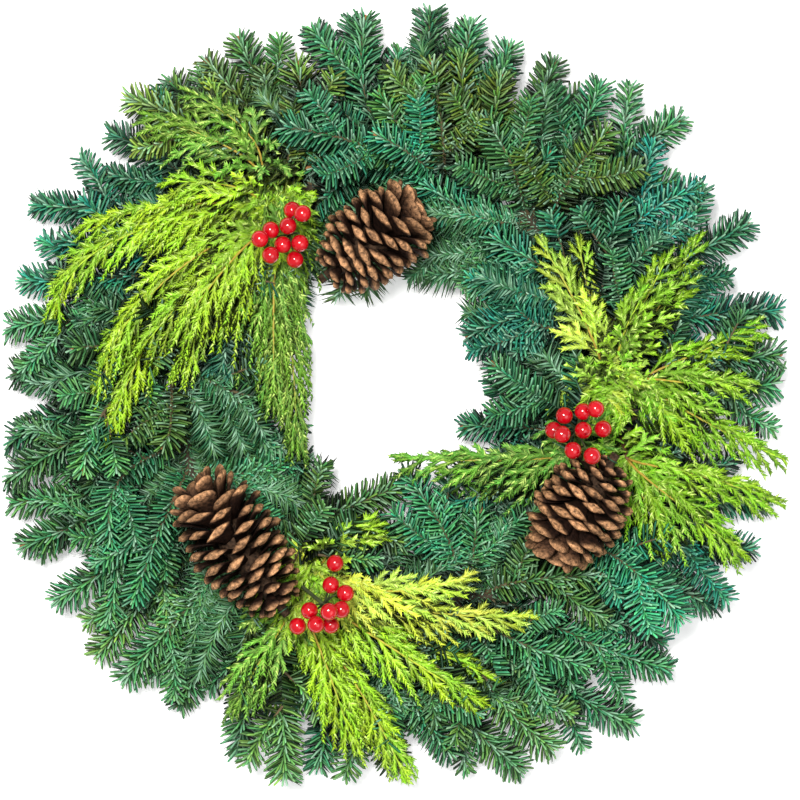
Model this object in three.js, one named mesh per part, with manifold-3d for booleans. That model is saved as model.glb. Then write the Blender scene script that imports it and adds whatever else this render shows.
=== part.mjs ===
// Fresh evergreen wreath lying on its back, front side up, in millimetres.
// X points to the right of the front view, Y to its top, Z out of the front.
// Bearings are degrees anticlockwise from X, seen from the front.

import * as THREE from "three";
import { mergeVertices } from "three/addons/utils/BufferGeometryUtils.js";
import Module from "manifold-3d";

const wasm = await Module();
wasm.setup();

// Ring frame: two round rails on flat cross strips whose ends fold over the bunches
const RAIL_RADII = [150, 178];
const RAIL_WIRE_RADIUS = 2;
const RAIL_HEIGHT = 4.2;
const RAIL_SEGMENTS = 30;
const RAIL_SIDES = 5;
const RING_RADIUS = 164;
const CLAMP_COUNT = 12;
const CLAMP_FIRST_BEARING = 9;
const CLAMP_STEP = 360 / CLAMP_COUNT;
const CLAMP_WIDTH = 11;
const CLAMP_THICKNESS = 2.4;
const CLAMP_HALF_SPAN = 22;
const CLAMP_SIDE_HEIGHT = 9;
const CLAMP_CLOSED_HEIGHT = 10.6;
const CLAMP_MOUTH = 0.8;
const RAIL_CLEAR_STEP = 6;
const CLAMP_CLEAR = { turns: [-1.5, 0, 1.5], height: 5, radius: 6 };

// Fir bunch: one cut branch through a clamp, its twigs fanned out past it
const BRANCH_RADIUS = 4;
const BRANCH_HEIGHT = 6.5;
const BRANCH_TAIL = 24;
const BRANCH_KNEE = 8;
const BRANCH_LEAD = 50;
const BRANCH_RISE = 20;
const BRANCH_SIDES = 5;
const BRANCH_STEPS = 8;
const TWIG_FIRST_START = 11;
const TWIG_LAST_START = 47;
const TWIG_ROOT_RADIUS = 1.8;
const TWIG_TIP_RADIUS = 1.1;
const TWIG_PIECES = 8;
const TWIG_GAP = 3;
const TWIG_RISE_STEP = 4;
const TWIG_RISE_LIMIT = 36;
const LOWEST_TWIG_TIP = 10;
const TWIG_TURN = { share: 0.35, lead: 8 };
const RING_TWIST = 0.35;
const THIN_FROM = 2 / 3;
const LEAST_BANDS = 2;
const FIRST_BAND = 0.45;
const LAST_TWIG_RING = 0.99;
const BUNCH_LEAD_BEARING = 18;
const NEEDLE_LENGTH = 26;
const NEEDLE_BASE = 1.7;
const NEEDLE_GAP = 0.3;
const NEEDLE_CUTS = [0.1, 0.2, 0.4, 0.65, 1];
const NEEDLE_RADII = [1.1, 0.9, 0.6, 0.35];
const NEEDLE_SHARES = [1, 0.85, 0.7, 0.55];
const NEEDLE_TRIES = 5;
const NEEDLE_SWEEP = { forward: 30, outward: 52, spread: 16 };
const NEEDLE_TILT = 0.5;
const NEEDLE_LIFT = 0.22;
const NEEDLE_LEAST_FACING = 0.25;
const NEEDLE_REACH = 306;
const NEEDLES_A_BAND = 5;
const BAND_PITCH = 34;
const BARE_TWIG = 36;
const BRANCH_CLEARANCE = BRANCH_RADIUS + TWIG_ROOT_RADIUS + 0.9;
const FIRST_RING_LEAST = 13;
const FIRST_RING_MOST = 32;

// Cedar branch: one stem in the tie, its flat fronds curved out past it
const CEDAR_STEM_RADIUS = 1.7;
const CEDAR_STEM_SIDES = 4;
const CEDAR_TAIL = 14;
const CEDAR_LEAD = 8;
const CEDAR_REACH = 26;
const CEDAR_RISE = 26;
const CEDAR_FIRST_SLOT = 151.5;
const CEDAR_SLOT_STEP = 4.2;
const TIED_HEIGHT = 8.2;
const FROND_HALF_WIDTH = 1;
const FROND_HALF_THICKNESS = 0.8;
const FROND_BASE = 6;
const FROND_PITCH = 28;
const FROND_LONGEST = 34;
const FROND_SHORTEST = 9;
const FROND_BARE_SHARE = 0.3;
const FROND_GAP = 2.5;
const FIRST_PAIR = 0.35;
const LEAST_PAIRS = 3;
const LAST_FROND_RING = 0.995;
const FROND_SHORTEST_BARE = 24;
const CEDAR_STEM_STEP = 5;
const CEDAR_CLEARANCE = 1.6;
const CEDAR_STEM_MARGIN = 0.8;

// Tie wires, cone wires and berry picks
const WIRE_RADIUS = 0.6;
const WIRE_SIDES = 3;
const EYE_CORNERS = 7;
const EYE_TURN = 1.5 * Math.PI / EYE_CORNERS;
const TIE_CORNER_CUT = 1.2;
const SEAT_GAP = 0.3;
const SHOOT_GAP = 1;
const FLARE = 1;
const BERRY_RADIUS = 6.5;
const BERRY_LEAN = 0.4;
const BERRY_DOME_REACH = 30;
const BERRY_GAP = 1;
const CROWN_STEPS = [15, 12, 9, 6, 3, 0];
const BERRY_STEM_RADIUS = 0.9;
const BERRY_BELTS = [-48, 0, 48];
const PICK_STEM_RADIUS = 1.5;
const PICK_REACH = 8;
const PICK_RISE = 24;
const STALK_RADIUS = 3.4;
const STALK_LENGTH = 12;
const STALK_EYE_SHARE = 0.55;
const TAIL_BEND = { share: 0.35, rise: 22 };

// The open middle, kept free of every needle and tip
const HOLE = { left: -63, right: 45, bottom: -44, top: 65 };
const HOLE_MARGIN = 1.5;
const HOLE_TESTS = 6;
const LOWEST_FOLIAGE = 0.8;
const WIDEST_REACH = 300;

const GREEN = { deep: "#2f5d3a", teal: "#2f6257", olive: "#5c7a35", light: "#4f8a45" };
const CEDAR = { bright: "#9cc63b", dark: "#6f9a36", yellow: "#c0d445" };
const CONE_BROWN = "#8a6a4a";
const BERRY_RED = "#c4122a";
const STEEL_GREEN = "#3c4a40";
const WIRE_GREY = "#6d7168";

// Fir twigs, each by its tip and the place where its straight needled end begins: x, y, x, y
const OUTER_TWIGS = [
  [27, 296, 25, 207, "deep"],
  [-23, 285, -34, 215, "deep"],
  [-61, 276, -27, 211, "teal"],
  [57, 280, 53, 232, "deep"],
  [87, 264, 68, 210, "teal"],
  [122, 252, 103, 207, "deep"],
  [156, 234, 140, 190, "teal"],
  [217, 209, 156, 169, "teal"],
  [232, 156, 175, 139, "teal"],
  [268, 128, 215, 100, "deep"],
  [298, 63, 240, 63, "teal"],
  [292, 29, 240, 25, "deep"],
  [299, 10, 250, -2, "teal"],
  [283, -85, 224, -78, "teal"],
  [271, -119, 217, -116, "teal"],
  [245, -161, 205, -150, "deep"],
  [207, -209, 156, -200, "deep"],
  [203, -190, 163, -172, "teal"],
  [180, -252, 110, -226, "teal"],
  [119, -270, 65, -233, "deep"],
  [95, -287, 46, -249, "deep"],
  [43, -275, 11, -238, "teal"],
  [2, -287, -19, -245, "deep"],
  [-59, -285, -46, -238, "teal"],
  [-84, -298, -84, -226, "deep"],
  [-119, -273, -112, -215, "deep"],
  [-165, -238, -140, -190, "deep"],
  [-205, -217, -170, -175, "deep"],
  [-226, -199, -190, -160, "deep"],
  [-256, -157, -208, -130, "deep"],
  [-283, -116, -235, -100, "deep"],
  [-296, -83, -232, -84, "teal"],
  [-296, -66, -250, -40, "deep"],
  [-296, -38, -260, -18, "deep"],
  [-297, 14, -228, 25, "teal"],
  [-300, 48, -243, 66, "deep"],
  [-283, 86, -235, 84, "teal"],
  [-251, 116, -215, 105, "deep"],
  [-274, 143, -217, 143, "teal"],
  [-220, 166, -180, 154, "deep"],
  [-215, 196, -168, 185, "deep"],
  [-201, 223, -150, 210, "light"],
  [-171, 238, -146, 205, "deep"],
  [-144, 253, -110, 218, "deep"],
  [-119, 270, -95, 213, "light"],
  [-74, 250, -70, 205, "light"],
];
const MIDDLE_TWIGS = [
  [28, 249, 42, 177, "olive"],
  [50, 255, 55, 180, "olive"],
  [80, 239, 68, 185, "olive"],
  [70, 206, 95, 165, "teal"],
  [118, 182, 108, 172, "teal"],
  [160, 198, 133, 165, "olive"],
  [171, 143, 158, 97, "teal"],
  [205, 90, 175, 62, "deep"],
  [-15, 196, 22, 178, "teal"],
  [-87, 201, -34, 196, "teal"],
  [-65, 172, -15, 180, "teal"],
  [-11, 226, 8, 195, "olive"],
  [215, -169, 175, -122, "light"],
  [156, -138, 72, -142, "deep"],
  [144, -207, 70, -185, "teal"],
  [60, -235, 25, -200, "deep"],
  [-215, -112, -226, -51, "teal"],
  [-236, -59, -230, 0, "light"],
  [-176, -40, -166, -30, "olive"],
  [-198, -157, -170, -75, "deep"],
  [-243, 33, -236, 38, "deep"],
  [-190, 65, -165, 50, "deep"],
  [-130, 215, -95, 185, "light"],
];
const INNER_TWIGS = [
  [15, 166, 72, 118, "teal"],
  [40, 112, 82, 118, "teal"],
  [76, 118, 116, 92, "teal"],
  [58, 78, 92, 100, "teal"],
  [88, 78, 98, 38, "teal"],
  [57, 44, 92, 60, "teal"],
  [74, 22, 103, -4, "deep"],
  [53, -26, 100, -22, "teal"],
  [50, -58, 100, -62, "deep"],
  [8, -62, 44, -105, "teal"],
  [65, -89, 57, -122, "teal"],
  [102, -104, 62, -132, "teal"],
  [2, -72, -70, -98, "deep"],
  [-30, -96, -60, -130, "deep"],
  [-68, -51, -118, -62, "teal"],
  [-72, -8, -118, -5, "deep"],
  [-80, 40, -125, 42, "deep"],
  [-96, 84, -130, 70, "deep"],
];

// Height of the tip above the table, and how much it varies, for each row of twigs
const TWIG_ROWS = [
  { twigs: OUTER_TWIGS, low: 16, spread: 26, arch: 10 },
  { twigs: INNER_TWIGS, low: 26, spread: 20, arch: 8 },
  { twigs: MIDDLE_TWIGS, low: 50, spread: 16, arch: 4 },
];

// Cedar fronds: tip x, y and the bend before it x, y, grouped by branch
// Way is 1 where the branch leaves its tie anticlockwise along the ring, -1 for clockwise
const CEDAR_GROUPS = [
  {
    name: "left", tieBearing: 114,
    branches: [
      { tint: "dark", slot: 5, way: 1, fronds: [[-182, 210, -95, 178], [-150, 226, -88, 190]] },
      {
        tint: "bright", slot: 4, way: 1,
        fronds: [[-232, 128, -170, 148], [-256, 70, -240, 126], [-165, 160, -115, 162]],
      },
      {
        tint: "bright", slot: 3, way: 1,
        fronds: [[-215, -28, -192, 62], [-224, 14, -196, 88], [-188, 38, -150, 84]],
      },
      { tint: "bright", slot: 2, way: 1, fronds: [[-163, 21, -128, 80], [-160, 50, -126, 102]] },
      {
        tint: "dark", slot: 1, way: 1,
        fronds: [[-92, -5, -92, 66], [-74, -36, -78, 60], [-114, 24, -106, 76]],
      },
    ],
  },
  {
    name: "right", tieBearing: 354,
    branches: [
      { tint: "yellow", slot: 2, way: 1, fronds: [[114, 109, 140, 66], [141, 109, 150, 66]] },
      {
        tint: "bright", slot: 3, way: 1,
        fronds: [[205, 100, 178, 50], [228, 112, 194, 52], [186, 71, 166, 38]],
      },
      {
        tint: "bright", slot: 4, way: 1,
        fronds: [[262, 8, 220, 4], [270, 48, 216, 24], [297, -51, 226, -22]],
      },
      {
        tint: "bright", slot: 5, way: -1,
        fronds: [[256, -116, 206, -76], [283, -80, 218, -54], [205, -104, 184, -78]],
      },
      { tint: "dark", slot: 1, way: -1, fronds: [[13, -50, 70, -52], [52, -66, 90, -58]] },
    ],
  },
  {
    name: "bottom", tieBearing: 234,
    branches: [
      { tint: "dark", slot: 5, way: 1, fronds: [[-118, -233, -98, -190], [-90, -228, -84, -186]] },
      { tint: "bright", slot: 4, way: 1, fronds: [[-34, -260, -50, -208], [11, -299, -18, -230]] },
      { tint: "bright", slot: 3, way: 1, fronds: [[58, -231, 8, -200], [68, -214, 14, -188]] },
      { tint: "yellow", slot: 1, way: 1, fronds: [[95, -169, 20, -172], [49, -142, -5, -156]] },
      { tint: "bright", slot: 0, way: 1, fronds: [[-19, -102, -60, -118]] },
    ],
  },
];
const FROND_HEIGHT = { low: 60, spread: 10, lowest: 20, tipDrop: 8, riseStep: 4, riseLimit: 40 };
const FROND_LEAD = 12;
const FROND_TURN = 0.2;
const FROND_WIDEST_AT = 0.35;
const FROND_THINNING = { wide: 0.45, thick: 0.25 };
const BRANCHLET_AHEAD = { shares: [1, 0.8, 0.6, 0.45], angles: [30, 24, 37] };
const BRANCHLET_BEHIND = { shares: [0.85, 0.65, 0.5], angles: [56, 64, 70] };
const BRANCHLET_FOOT = 0.14;
const BRANCHLET_RADIUS = 0.8;
const BRANCHLET_REACH = 303;

// Cones: base and tip ends of the long axis, and the place of the wire's hook on the ring
const CONES = [
  { base: [-47, 92, 74], tip: [17, 140, 82], radius: 35, hookRail: 0, hookBearing: 102 },
  { base: [-88, -158, 72], tip: [-152, -66, 80], radius: 36, hookRail: 1, hookBearing: 246 },
  { base: [160, -56, 80], tip: [120, -120, 70], radius: 36, hookRail: 1, hookBearing: 342 },
];
const CONE_SIDES = 7;
const CONE_ROWS = 9;
const CONE_CORE_SHARE = 0.58;
const CONE_END_WIDTH = 0.3;
const CONE_FIRST_ROW = 0.06;
const CONE_ROWS_SPAN = 0.86;
const CONE_POINT = 0.97;
const SCALE_LEAN = { base: 0.03, growth: 0.09 };
const SCALE_HALF_WIDTH = 0.38;
const SCALE_HALF_THICKNESS = 0.024;
const SCALE_LOWER_RIM = 0.93;
const SCALE_RIM = 0.9;
const CONE_CLEAR = { from: 0.3, to: 0.76 };
const STALK_SIDES = 6;
const STALK_ROOT = 6;

// Berries of each pick: x and y of every berry, the slot of its stem in the tie
const PICKS = [
  {
    group: 0, slot: 0, hub: [-80, 120, 60],
    berries: [
      [-77, 137], [-69, 134], [-80, 125], [-93, 122], [-101, 115],
      [-84, 111], [-71, 112], [-93, 103], [-75, 100],
    ],
  },
  {
    group: 2, slot: 2, hub: [-54, -160, 60],
    berries: [
      [-45, -128], [-48, -144], [-37, -150], [-40, -162], [-49, -163],
      [-64, -163], [-73, -175], [-59, -173], [-48, -174],
    ],
  },
  {
    group: 1, slot: 0, hub: [138, -28, 60],
    berries: [
      [119, -28], [141, -14], [150, -12], [127, -17], [125, -31],
      [141, -28], [156, -27], [133, -43], [147, -47],
    ],
  },
];
const BERRY_HEIGHT = 84;
const BERRY_DOME = 12;

function radians(degrees) {
  return degrees * Math.PI / 180;
}

function vec(x, y, z) {
  return new THREE.Vector3(x, y, z);
}

function onCircle(radius, bearing, height) {
  const angle = radians(bearing);
  return vec(radius * Math.cos(angle), radius * Math.sin(angle), height);
}

// Unit vector along the ring, anticlockwise
function alongRing(bearing) {
  return onCircle(1, bearing + 90, 0);
}

function bearingOf(x, y) {
  return Math.atan2(y, x) * 180 / Math.PI;
}

function dice(seed) {
  let state = seed >>> 0;
  return () => {
    state = (state + 0x6d2b79f5) >>> 0;
    let mixed = Math.imul(state ^ (state >>> 15), state | 1);
    mixed ^= mixed + Math.imul(mixed ^ (mixed >>> 7), mixed | 61);
    return ((mixed ^ (mixed >>> 14)) >>> 0) / 4294967296;
  };
}

// Evenly scattered share between 0 and 1 for a running number
function scatter(index) {
  return (index * 0.618034) % 1;
}

// Shortest distance between two straight pieces
function pieceDistance(a, b, c, d) {
  const u = b.clone().sub(a);
  const v = d.clone().sub(c);
  const w = a.clone().sub(c);
  const uu = u.dot(u);
  const vv = v.dot(v);
  const uv = u.dot(v);
  const uw = u.dot(w);
  const vw = v.dot(w);
  const spread = uu * vv - uv * uv;
  let s = spread > 1e-9 ? THREE.MathUtils.clamp((uv * vw - vv * uw) / spread, 0, 1) : 0;
  let t = vv > 1e-9 ? (uv * s + vw) / vv : 0;
  if (t < 0 || t > 1) {
    t = THREE.MathUtils.clamp(t, 0, 1);
    s = uu > 1e-9 ? THREE.MathUtils.clamp((uv * t - uw) / uu, 0, 1) : 0;
  }
  return w.add(u.multiplyScalar(s)).sub(v.multiplyScalar(t)).length();
}

// Everything already placed, as straight rounded pieces
const placed = [];

function place(a, b, radius, owner, part) {
  placed.push({
    a, b, radius, owner, part,
    low: a.clone().min(b),
    high: a.clone().max(b),
  });
}

function placePath(points, radius, owner, part) {
  for (let i = 1; i < points.length; i += 1) {
    place(points[i - 1], points[i], radius, owner, part);
  }
}

// Smallest gap between a straight rounded piece and everything placed, pieces that skip() names left out
function gapAround(a, b, radius, enough, skip) {
  const low = a.clone().min(b);
  const high = a.clone().max(b);
  let smallest = Infinity;
  for (const other of placed) {
    const reach = radius + other.radius + enough;
    if (other.low.x > high.x + reach || other.high.x < low.x - reach) continue;
    if (other.low.y > high.y + reach || other.high.y < low.y - reach) continue;
    if (other.low.z > high.z + reach || other.high.z < low.z - reach) continue;
    if (skip(other)) continue;
    smallest = Math.min(smallest, pieceDistance(a, b, other.a, other.b) - radius - other.radius);
  }
  return smallest;
}

function inHole(point) {
  return point.x > HOLE.left - HOLE_MARGIN && point.x < HOLE.right + HOLE_MARGIN
    && point.y > HOLE.bottom - HOLE_MARGIN && point.y < HOLE.top + HOLE_MARGIN;
}

function crossesHole(a, b) {
  for (let step = 0; step <= HOLE_TESTS; step += 1) {
    if (inHole(a.clone().lerp(b, step / HOLE_TESTS))) return true;
  }
  return false;
}

// A closed skin made ring by ring, with faces that can be raised to a point
const BUD_DISTANCE_COST = 0.08;
const LEAST_FACING = 0.6;
const STEEP = 0.9;
const AHEAD = 20;
const FARTHEST_SHARE = 0.9;

class Skin {
  constructor() {
    this.points = [];
    this.faces = [];
    this.buds = [];
    this.shoots = [];
    this.grafts = [];
    this.grown = new Set();
  }

  ring(corners) {
    const first = this.points.length;
    this.points.push(...corners);
    return first;
  }

  triangle(i, j, k, tip) {
    if (!tip) {
      this.faces.push([i, j, k]);
      return;
    }
    const top = this.points.push(tip) - 1;
    this.faces.push([i, j, top], [j, k, top], [k, i, top]);
  }

  quad(i, j, k, l) {
    this.faces.push([i, j, k], [i, k, l]);
  }

  wall(lower, upper, sides) {
    for (let i = 0; i < sides; i += 1) {
      const j = (i + 1) % sides;
      this.quad(lower + i, lower + j, upper + j, upper + i);
    }
  }

  startCap(first, sides) {
    for (let i = 1; i < sides - 1; i += 1) this.faces.push([first, first + i + 1, first + i]);
  }

  endCap(first, sides) {
    for (let i = 1; i < sides - 1; i += 1) this.faces.push([first, first + i, first + i + 1]);
  }

  endPoint(first, sides, tip) {
    const top = this.points.push(tip) - 1;
    for (let i = 0; i < sides; i += 1) this.faces.push([first + i, first + (i + 1) % sides, top]);
  }

  // Wall whose faces wait for a side shoot
  budWall(lower, upper, sides, whole) {
    for (let i = 0; i < sides; i += 1) {
      const j = (i + 1) % sides;
      const corners = [lower + i, lower + j, upper + j, upper + i];
      if (whole) this.buds.push(this.bud(corners));
      else this.buds.push(this.bud(corners.slice(0, 3)), this.bud([corners[0], corners[2], corners[3]]));
    }
  }

  bud(corners) {
    const [a, b, c] = corners.map((corner) => this.points[corner]);
    const outward = b.clone().sub(a).cross(c.clone().sub(a)).normalize();
    return { corners, outward, center: centroid(this, corners), free: true };
  }

  // The free bud that best faces the first place of a shoot, clear of the shoots grown before
  takeBud(origin, target, beyond, radius) {
    let best = null;
    for (const bud of this.buds.filter((candidate) => candidate.free)) {
      if (bud.corners.some((corner) => this.grown.has(corner))) continue;
      const heading = target.clone().sub(bud.center).normalize();
      const facing = bud.outward.dot(heading);
      const foot = bud.center.clone().addScaledVector(heading, radius);
      const pieces = [[foot, target], [target, beyond]];
      const near = (a, b, other) => (
        pieceDistance(a, b, other.a, other.b) < radius + other.radius + SHOOT_GAP
      );
      const crowded = pieces.some(([a, b]) => this.shoots.some((other) => near(a, b, other)));
      const score = facing - BUD_DISTANCE_COST * bud.center.distanceTo(origin);
      if (!crowded && facing > LEAST_FACING && (!best || score > best.score)) best = { bud, score, pieces };
    }
    if (!best) return null;
    best.bud.free = false;
    best.bud.corners.forEach((corner) => this.grown.add(corner));
    this.shoots.push(...best.pieces.map(([a, b]) => ({ a, b, radius })));
    return best.bud;
  }

  // Skin and first corners of a shoot: out of a bud, or else a graft with its foot inside the stem
  startShoot(origin, target, beyond, radius, sides) {
    const bud = this.takeBud(origin, target, beyond, radius);
    if (bud) return { skin: this, corners: bud.corners, center: bud.center };
    const graft = new Skin();
    this.grafts.push(graft);
    const frame = crossDirections([target.clone().sub(origin).normalize()])[0];
    const first = graft.ring(roundRing(origin, frame, radius, sides, Math.PI / sides));
    graft.startCap(first, sides);
    this.shoots.push({ a: origin, b: target, radius }, { a: target, b: beyond, radius });
    return { skin: graft, corners: Array.from({ length: sides }, (_, i) => first + i), center: origin };
  }

  closeBuds() {
    for (const { corners } of this.buds.filter((bud) => bud.free)) {
      for (let i = 1; i < corners.length - 1; i += 1) {
        this.faces.push([corners[0], corners[i], corners[i + 1]]);
      }
    }
  }

  solid() {
    this.closeBuds();
    const vertProperties = new Float32Array(this.points.flatMap((point) => point.toArray()));
    const triVerts = new Uint32Array(this.faces.flat());
    const own = new wasm.Manifold(new wasm.Mesh({ numProp: 3, vertProperties, triVerts }));
    return joined([own, ...this.grafts.map((graft) => graft.solid())]);
  }
}

function joined(solids) {
  return solids.reduce((sum, solid) => sum.add(solid));
}

// Directions across a path at each of its points, carried along without twisting
function crossDirections(tangents) {
  const first = tangents[0];
  const start = Math.abs(first.z) > STEEP ? vec(1, 0, 0) : vec(0, 0, 1);
  let left = start.clone().cross(first).normalize();
  return tangents.map((tangent) => {
    left = left.clone().sub(tangent.clone().multiplyScalar(left.dot(tangent))).normalize();
    return { tangent, left, up: tangent.clone().cross(left) };
  });
}

function roundRing(center, frame, radius, sides, turn) {
  const corners = [];
  for (let i = 0; i < sides; i += 1) {
    const angle = turn + i * 2 * Math.PI / sides;
    corners.push(center.clone()
      .addScaledVector(frame.left, radius * Math.cos(angle))
      .addScaledVector(frame.up, radius * Math.sin(angle)));
  }
  return corners;
}

function pathTangents(points) {
  return points.map((point, i) => {
    const before = points[Math.max(0, i - 1)];
    const after = points[Math.min(points.length - 1, i + 1)];
    return after.clone().sub(before).normalize();
  });
}

function centroid(skin, corners) {
  const sum = corners.reduce((total, corner) => total.add(skin.points[corner]), vec(0, 0, 0));
  return sum.divideScalar(corners.length);
}

function tube(points, radius, sides) {
  return stemSkin(points, radius, sides, points.length, false).solid();
}

// Stem skin whose walls after the ring numbered firstBud carry buds
function stemSkin(points, radius, sides, firstBud, whole) {
  const frames = crossDirections(pathTangents(points));
  const skin = new Skin();
  const turn = Math.PI / sides;
  const rings = points.map((point, i) => skin.ring(roundRing(point, frames[i], radius, sides, turn)));
  skin.startCap(rings[0], sides);
  for (let i = 1; i < rings.length; i += 1) {
    if (i > firstBud) skin.budWall(rings[i - 1], rings[i], sides, whole);
    else skin.wall(rings[i - 1], rings[i], sides);
  }
  const last = rings[rings.length - 1];
  if (whole) skin.buds.push(skin.bud([last, last + 1, last + 2, last + 3]));
  else skin.endCap(last, sides);
  return skin;
}

// Distance along a curve at which it has come out of the stem it starts in
function clearOfStem(curve, length, stem, radius) {
  let along = FIRST_RING_LEAST;
  const outside = (at) => {
    const point = curve.getPointAt(at / length);
    return stem.every((place, i) => i === 0 || pieceDistance(point, point, stem[i - 1], place) > radius);
  };
  while (along < FIRST_RING_MOST && !outside(along)) along += 1;
  return along;
}

// A shoot is wider than its own radius from its root to its first ring
function placeFlare(curve, stem, clearance, radius, owner) {
  const length = curve.getLength();
  const first = clearOfStem(curve, length, stem, clearance);
  place(curve.getPointAt(0), curve.getPointAt(first / length), radius + FLARE, owner, 1);
}

// Turns a ring of corners so that it meets the first corners of a shoot without twisting
function turnToRoot(root, frame) {
  const offset = root.skin.points[root.corners[0]].clone().sub(root.center);
  return Math.atan2(offset.dot(frame.up), offset.dot(frame.left));
}

// A wire bent to a closed loop in one plane
function loop(points, normal, radius, sides) {
  const skin = new Skin();
  const rings = points.map((point, i) => {
    const before = points[(i + points.length - 1) % points.length];
    const after = points[(i + 1) % points.length];
    const tangent = after.clone().sub(before).normalize();
    const left = normal.clone().cross(tangent).normalize();
    const across = { left, up: tangent.clone().cross(left) };
    return skin.ring(roundRing(point, across, radius, sides, Math.PI / sides));
  });
  for (let i = 0; i < rings.length; i += 1) skin.wall(rings[i], rings[(i + 1) % rings.length], sides);
  return skin.solid();
}

function roundLoop(center, axis, radius, corners, wire, sides, turn) {
  const start = Math.abs(axis.z) > STEEP ? vec(1, 0, 0) : vec(0, 0, 1);
  const left = start.clone().cross(axis).normalize();
  const up = axis.clone().cross(left);
  const points = roundRing(center, { left, up }, radius, corners, turn);
  return loop(points, axis, wire, sides);
}

const parts = new THREE.Group();
parts.name = "fresh_evergreen_wreath";

function addPart(name, solid, color, roughness, metalness) {
  const mesh = solid.getMesh();
  const geometry = new THREE.BufferGeometry();
  geometry.setAttribute("position", new THREE.BufferAttribute(new Float32Array(mesh.vertProperties), 3));
  geometry.setIndex(new THREE.BufferAttribute(new Uint32Array(mesh.triVerts), 1));
  const material = new THREE.MeshStandardMaterial({ color, roughness, metalness });
  const part = new THREE.Mesh(mergeVertices(geometry, 1e-4), material);
  part.name = name;
  parts.add(part);
}

// Ring frame
function rail(radius) {
  const middle = vec(0, 0, RAIL_HEIGHT);
  return roundLoop(middle, vec(0, 0, 1), radius, RAIL_SEGMENTS, RAIL_WIRE_RADIUS, RAIL_SIDES, 0);
}

function clampOutline() {
  const shape = new THREE.Shape();
  const side = CLAMP_HALF_SPAN;
  const inner = side - CLAMP_THICKNESS;
  shape.moveTo(-side, 0);
  shape.lineTo(side, 0);
  shape.lineTo(side, CLAMP_SIDE_HEIGHT);
  shape.lineTo(CLAMP_MOUTH, CLAMP_CLOSED_HEIGHT + CLAMP_THICKNESS);
  shape.lineTo(CLAMP_MOUTH, CLAMP_CLOSED_HEIGHT);
  shape.lineTo(inner, CLAMP_SIDE_HEIGHT - CLAMP_THICKNESS / 2);
  shape.lineTo(inner, CLAMP_THICKNESS);
  shape.lineTo(-inner, CLAMP_THICKNESS);
  shape.lineTo(-inner, CLAMP_SIDE_HEIGHT - CLAMP_THICKNESS / 2);
  shape.lineTo(-CLAMP_MOUTH, CLAMP_CLOSED_HEIGHT);
  shape.lineTo(-CLAMP_MOUTH, CLAMP_CLOSED_HEIGHT + CLAMP_THICKNESS);
  shape.lineTo(-side, CLAMP_SIDE_HEIGHT);
  shape.closePath();
  return shape;
}

function solidOf(geometry) {
  const plain = geometry.clone();
  plain.deleteAttribute("normal");
  plain.deleteAttribute("uv");
  const merged = mergeVertices(plain, 1e-4);
  return new wasm.Manifold(new wasm.Mesh({
    numProp: 3,
    vertProperties: new Float32Array(merged.attributes.position.array),
    triVerts: new Uint32Array(merged.index.array),
  }));
}

function clampBearing(index) {
  return CLAMP_FIRST_BEARING + index * CLAMP_STEP;
}

function clamp(index) {
  const geometry = new THREE.ExtrudeGeometry(clampOutline(), { depth: CLAMP_WIDTH, bevelEnabled: false });
  geometry.translate(0, 0, -CLAMP_WIDTH / 2);
  geometry.rotateX(Math.PI / 2);
  geometry.translate(RING_RADIUS, 0, 0);
  geometry.rotateZ(radians(clampBearing(index)));
  return solidOf(geometry);
}

function placeRing() {
  for (let bearing = 0; bearing < 360; bearing += RAIL_CLEAR_STEP) {
    for (const radius of RAIL_RADII) {
      const from = onCircle(radius, bearing, RAIL_HEIGHT);
      const to = onCircle(radius, bearing + RAIL_CLEAR_STEP, RAIL_HEIGHT);
      place(from, to, RAIL_WIRE_RADIUS, "ring", 0);
    }
  }
  for (let index = 0; index < CLAMP_COUNT; index += 1) {
    const bearing = clampBearing(index);
    for (const turn of CLAMP_CLEAR.turns) {
      const from = onCircle(RING_RADIUS - CLAMP_HALF_SPAN, bearing + turn, CLAMP_CLEAR.height);
      const to = onCircle(RING_RADIUS + CLAMP_HALF_SPAN, bearing + turn, CLAMP_CLEAR.height);
      place(from, to, CLAMP_CLEAR.radius, "ring", 1);
    }
  }
}

function buildRing() {
  const pieces = RAIL_RADII.map(rail);
  for (let index = 0; index < CLAMP_COUNT; index += 1) pieces.push(clamp(index));
  addPart("ring_frame", joined(pieces), STEEL_GREEN, 0.5, 0.6);
  placeRing();
}

// Tie wires: a flat loop round both rails and over the stems that lie on them
function tieCorners(bearing) {
  const inside = RAIL_RADII[0] - RAIL_WIRE_RADIUS - SEAT_GAP - WIRE_RADIUS;
  const outside = RAIL_RADII[1] + RAIL_WIRE_RADIUS + SEAT_GAP + WIRE_RADIUS;
  const under = RAIL_HEIGHT - RAIL_WIRE_RADIUS - SEAT_GAP - WIRE_RADIUS;
  const over = TIED_HEIGHT + CEDAR_STEM_RADIUS + SEAT_GAP + WIRE_RADIUS;
  const cut = TIE_CORNER_CUT;
  const profile = [
    [inside, under + cut], [inside + cut, under], [outside - cut, under], [outside, under + cut],
    [outside, over - cut], [outside - cut, over], [inside + cut, over], [inside, over - cut],
  ];
  return profile.map(([radius, height]) => onCircle(radius, bearing, height));
}

function buildTies() {
  CEDAR_GROUPS.forEach((group, index) => {
    const corners = tieCorners(group.tieBearing);
    const name = `tie_wire_${index + 1}`;
    const wire = loop(corners, alongRing(group.tieBearing), WIRE_RADIUS, WIRE_SIDES);
    addPart(name, wire, WIRE_GREY, 0.45, 0.8);
    placePath([...corners, corners[0]], WIRE_RADIUS, name, 0);
  });
}

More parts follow.
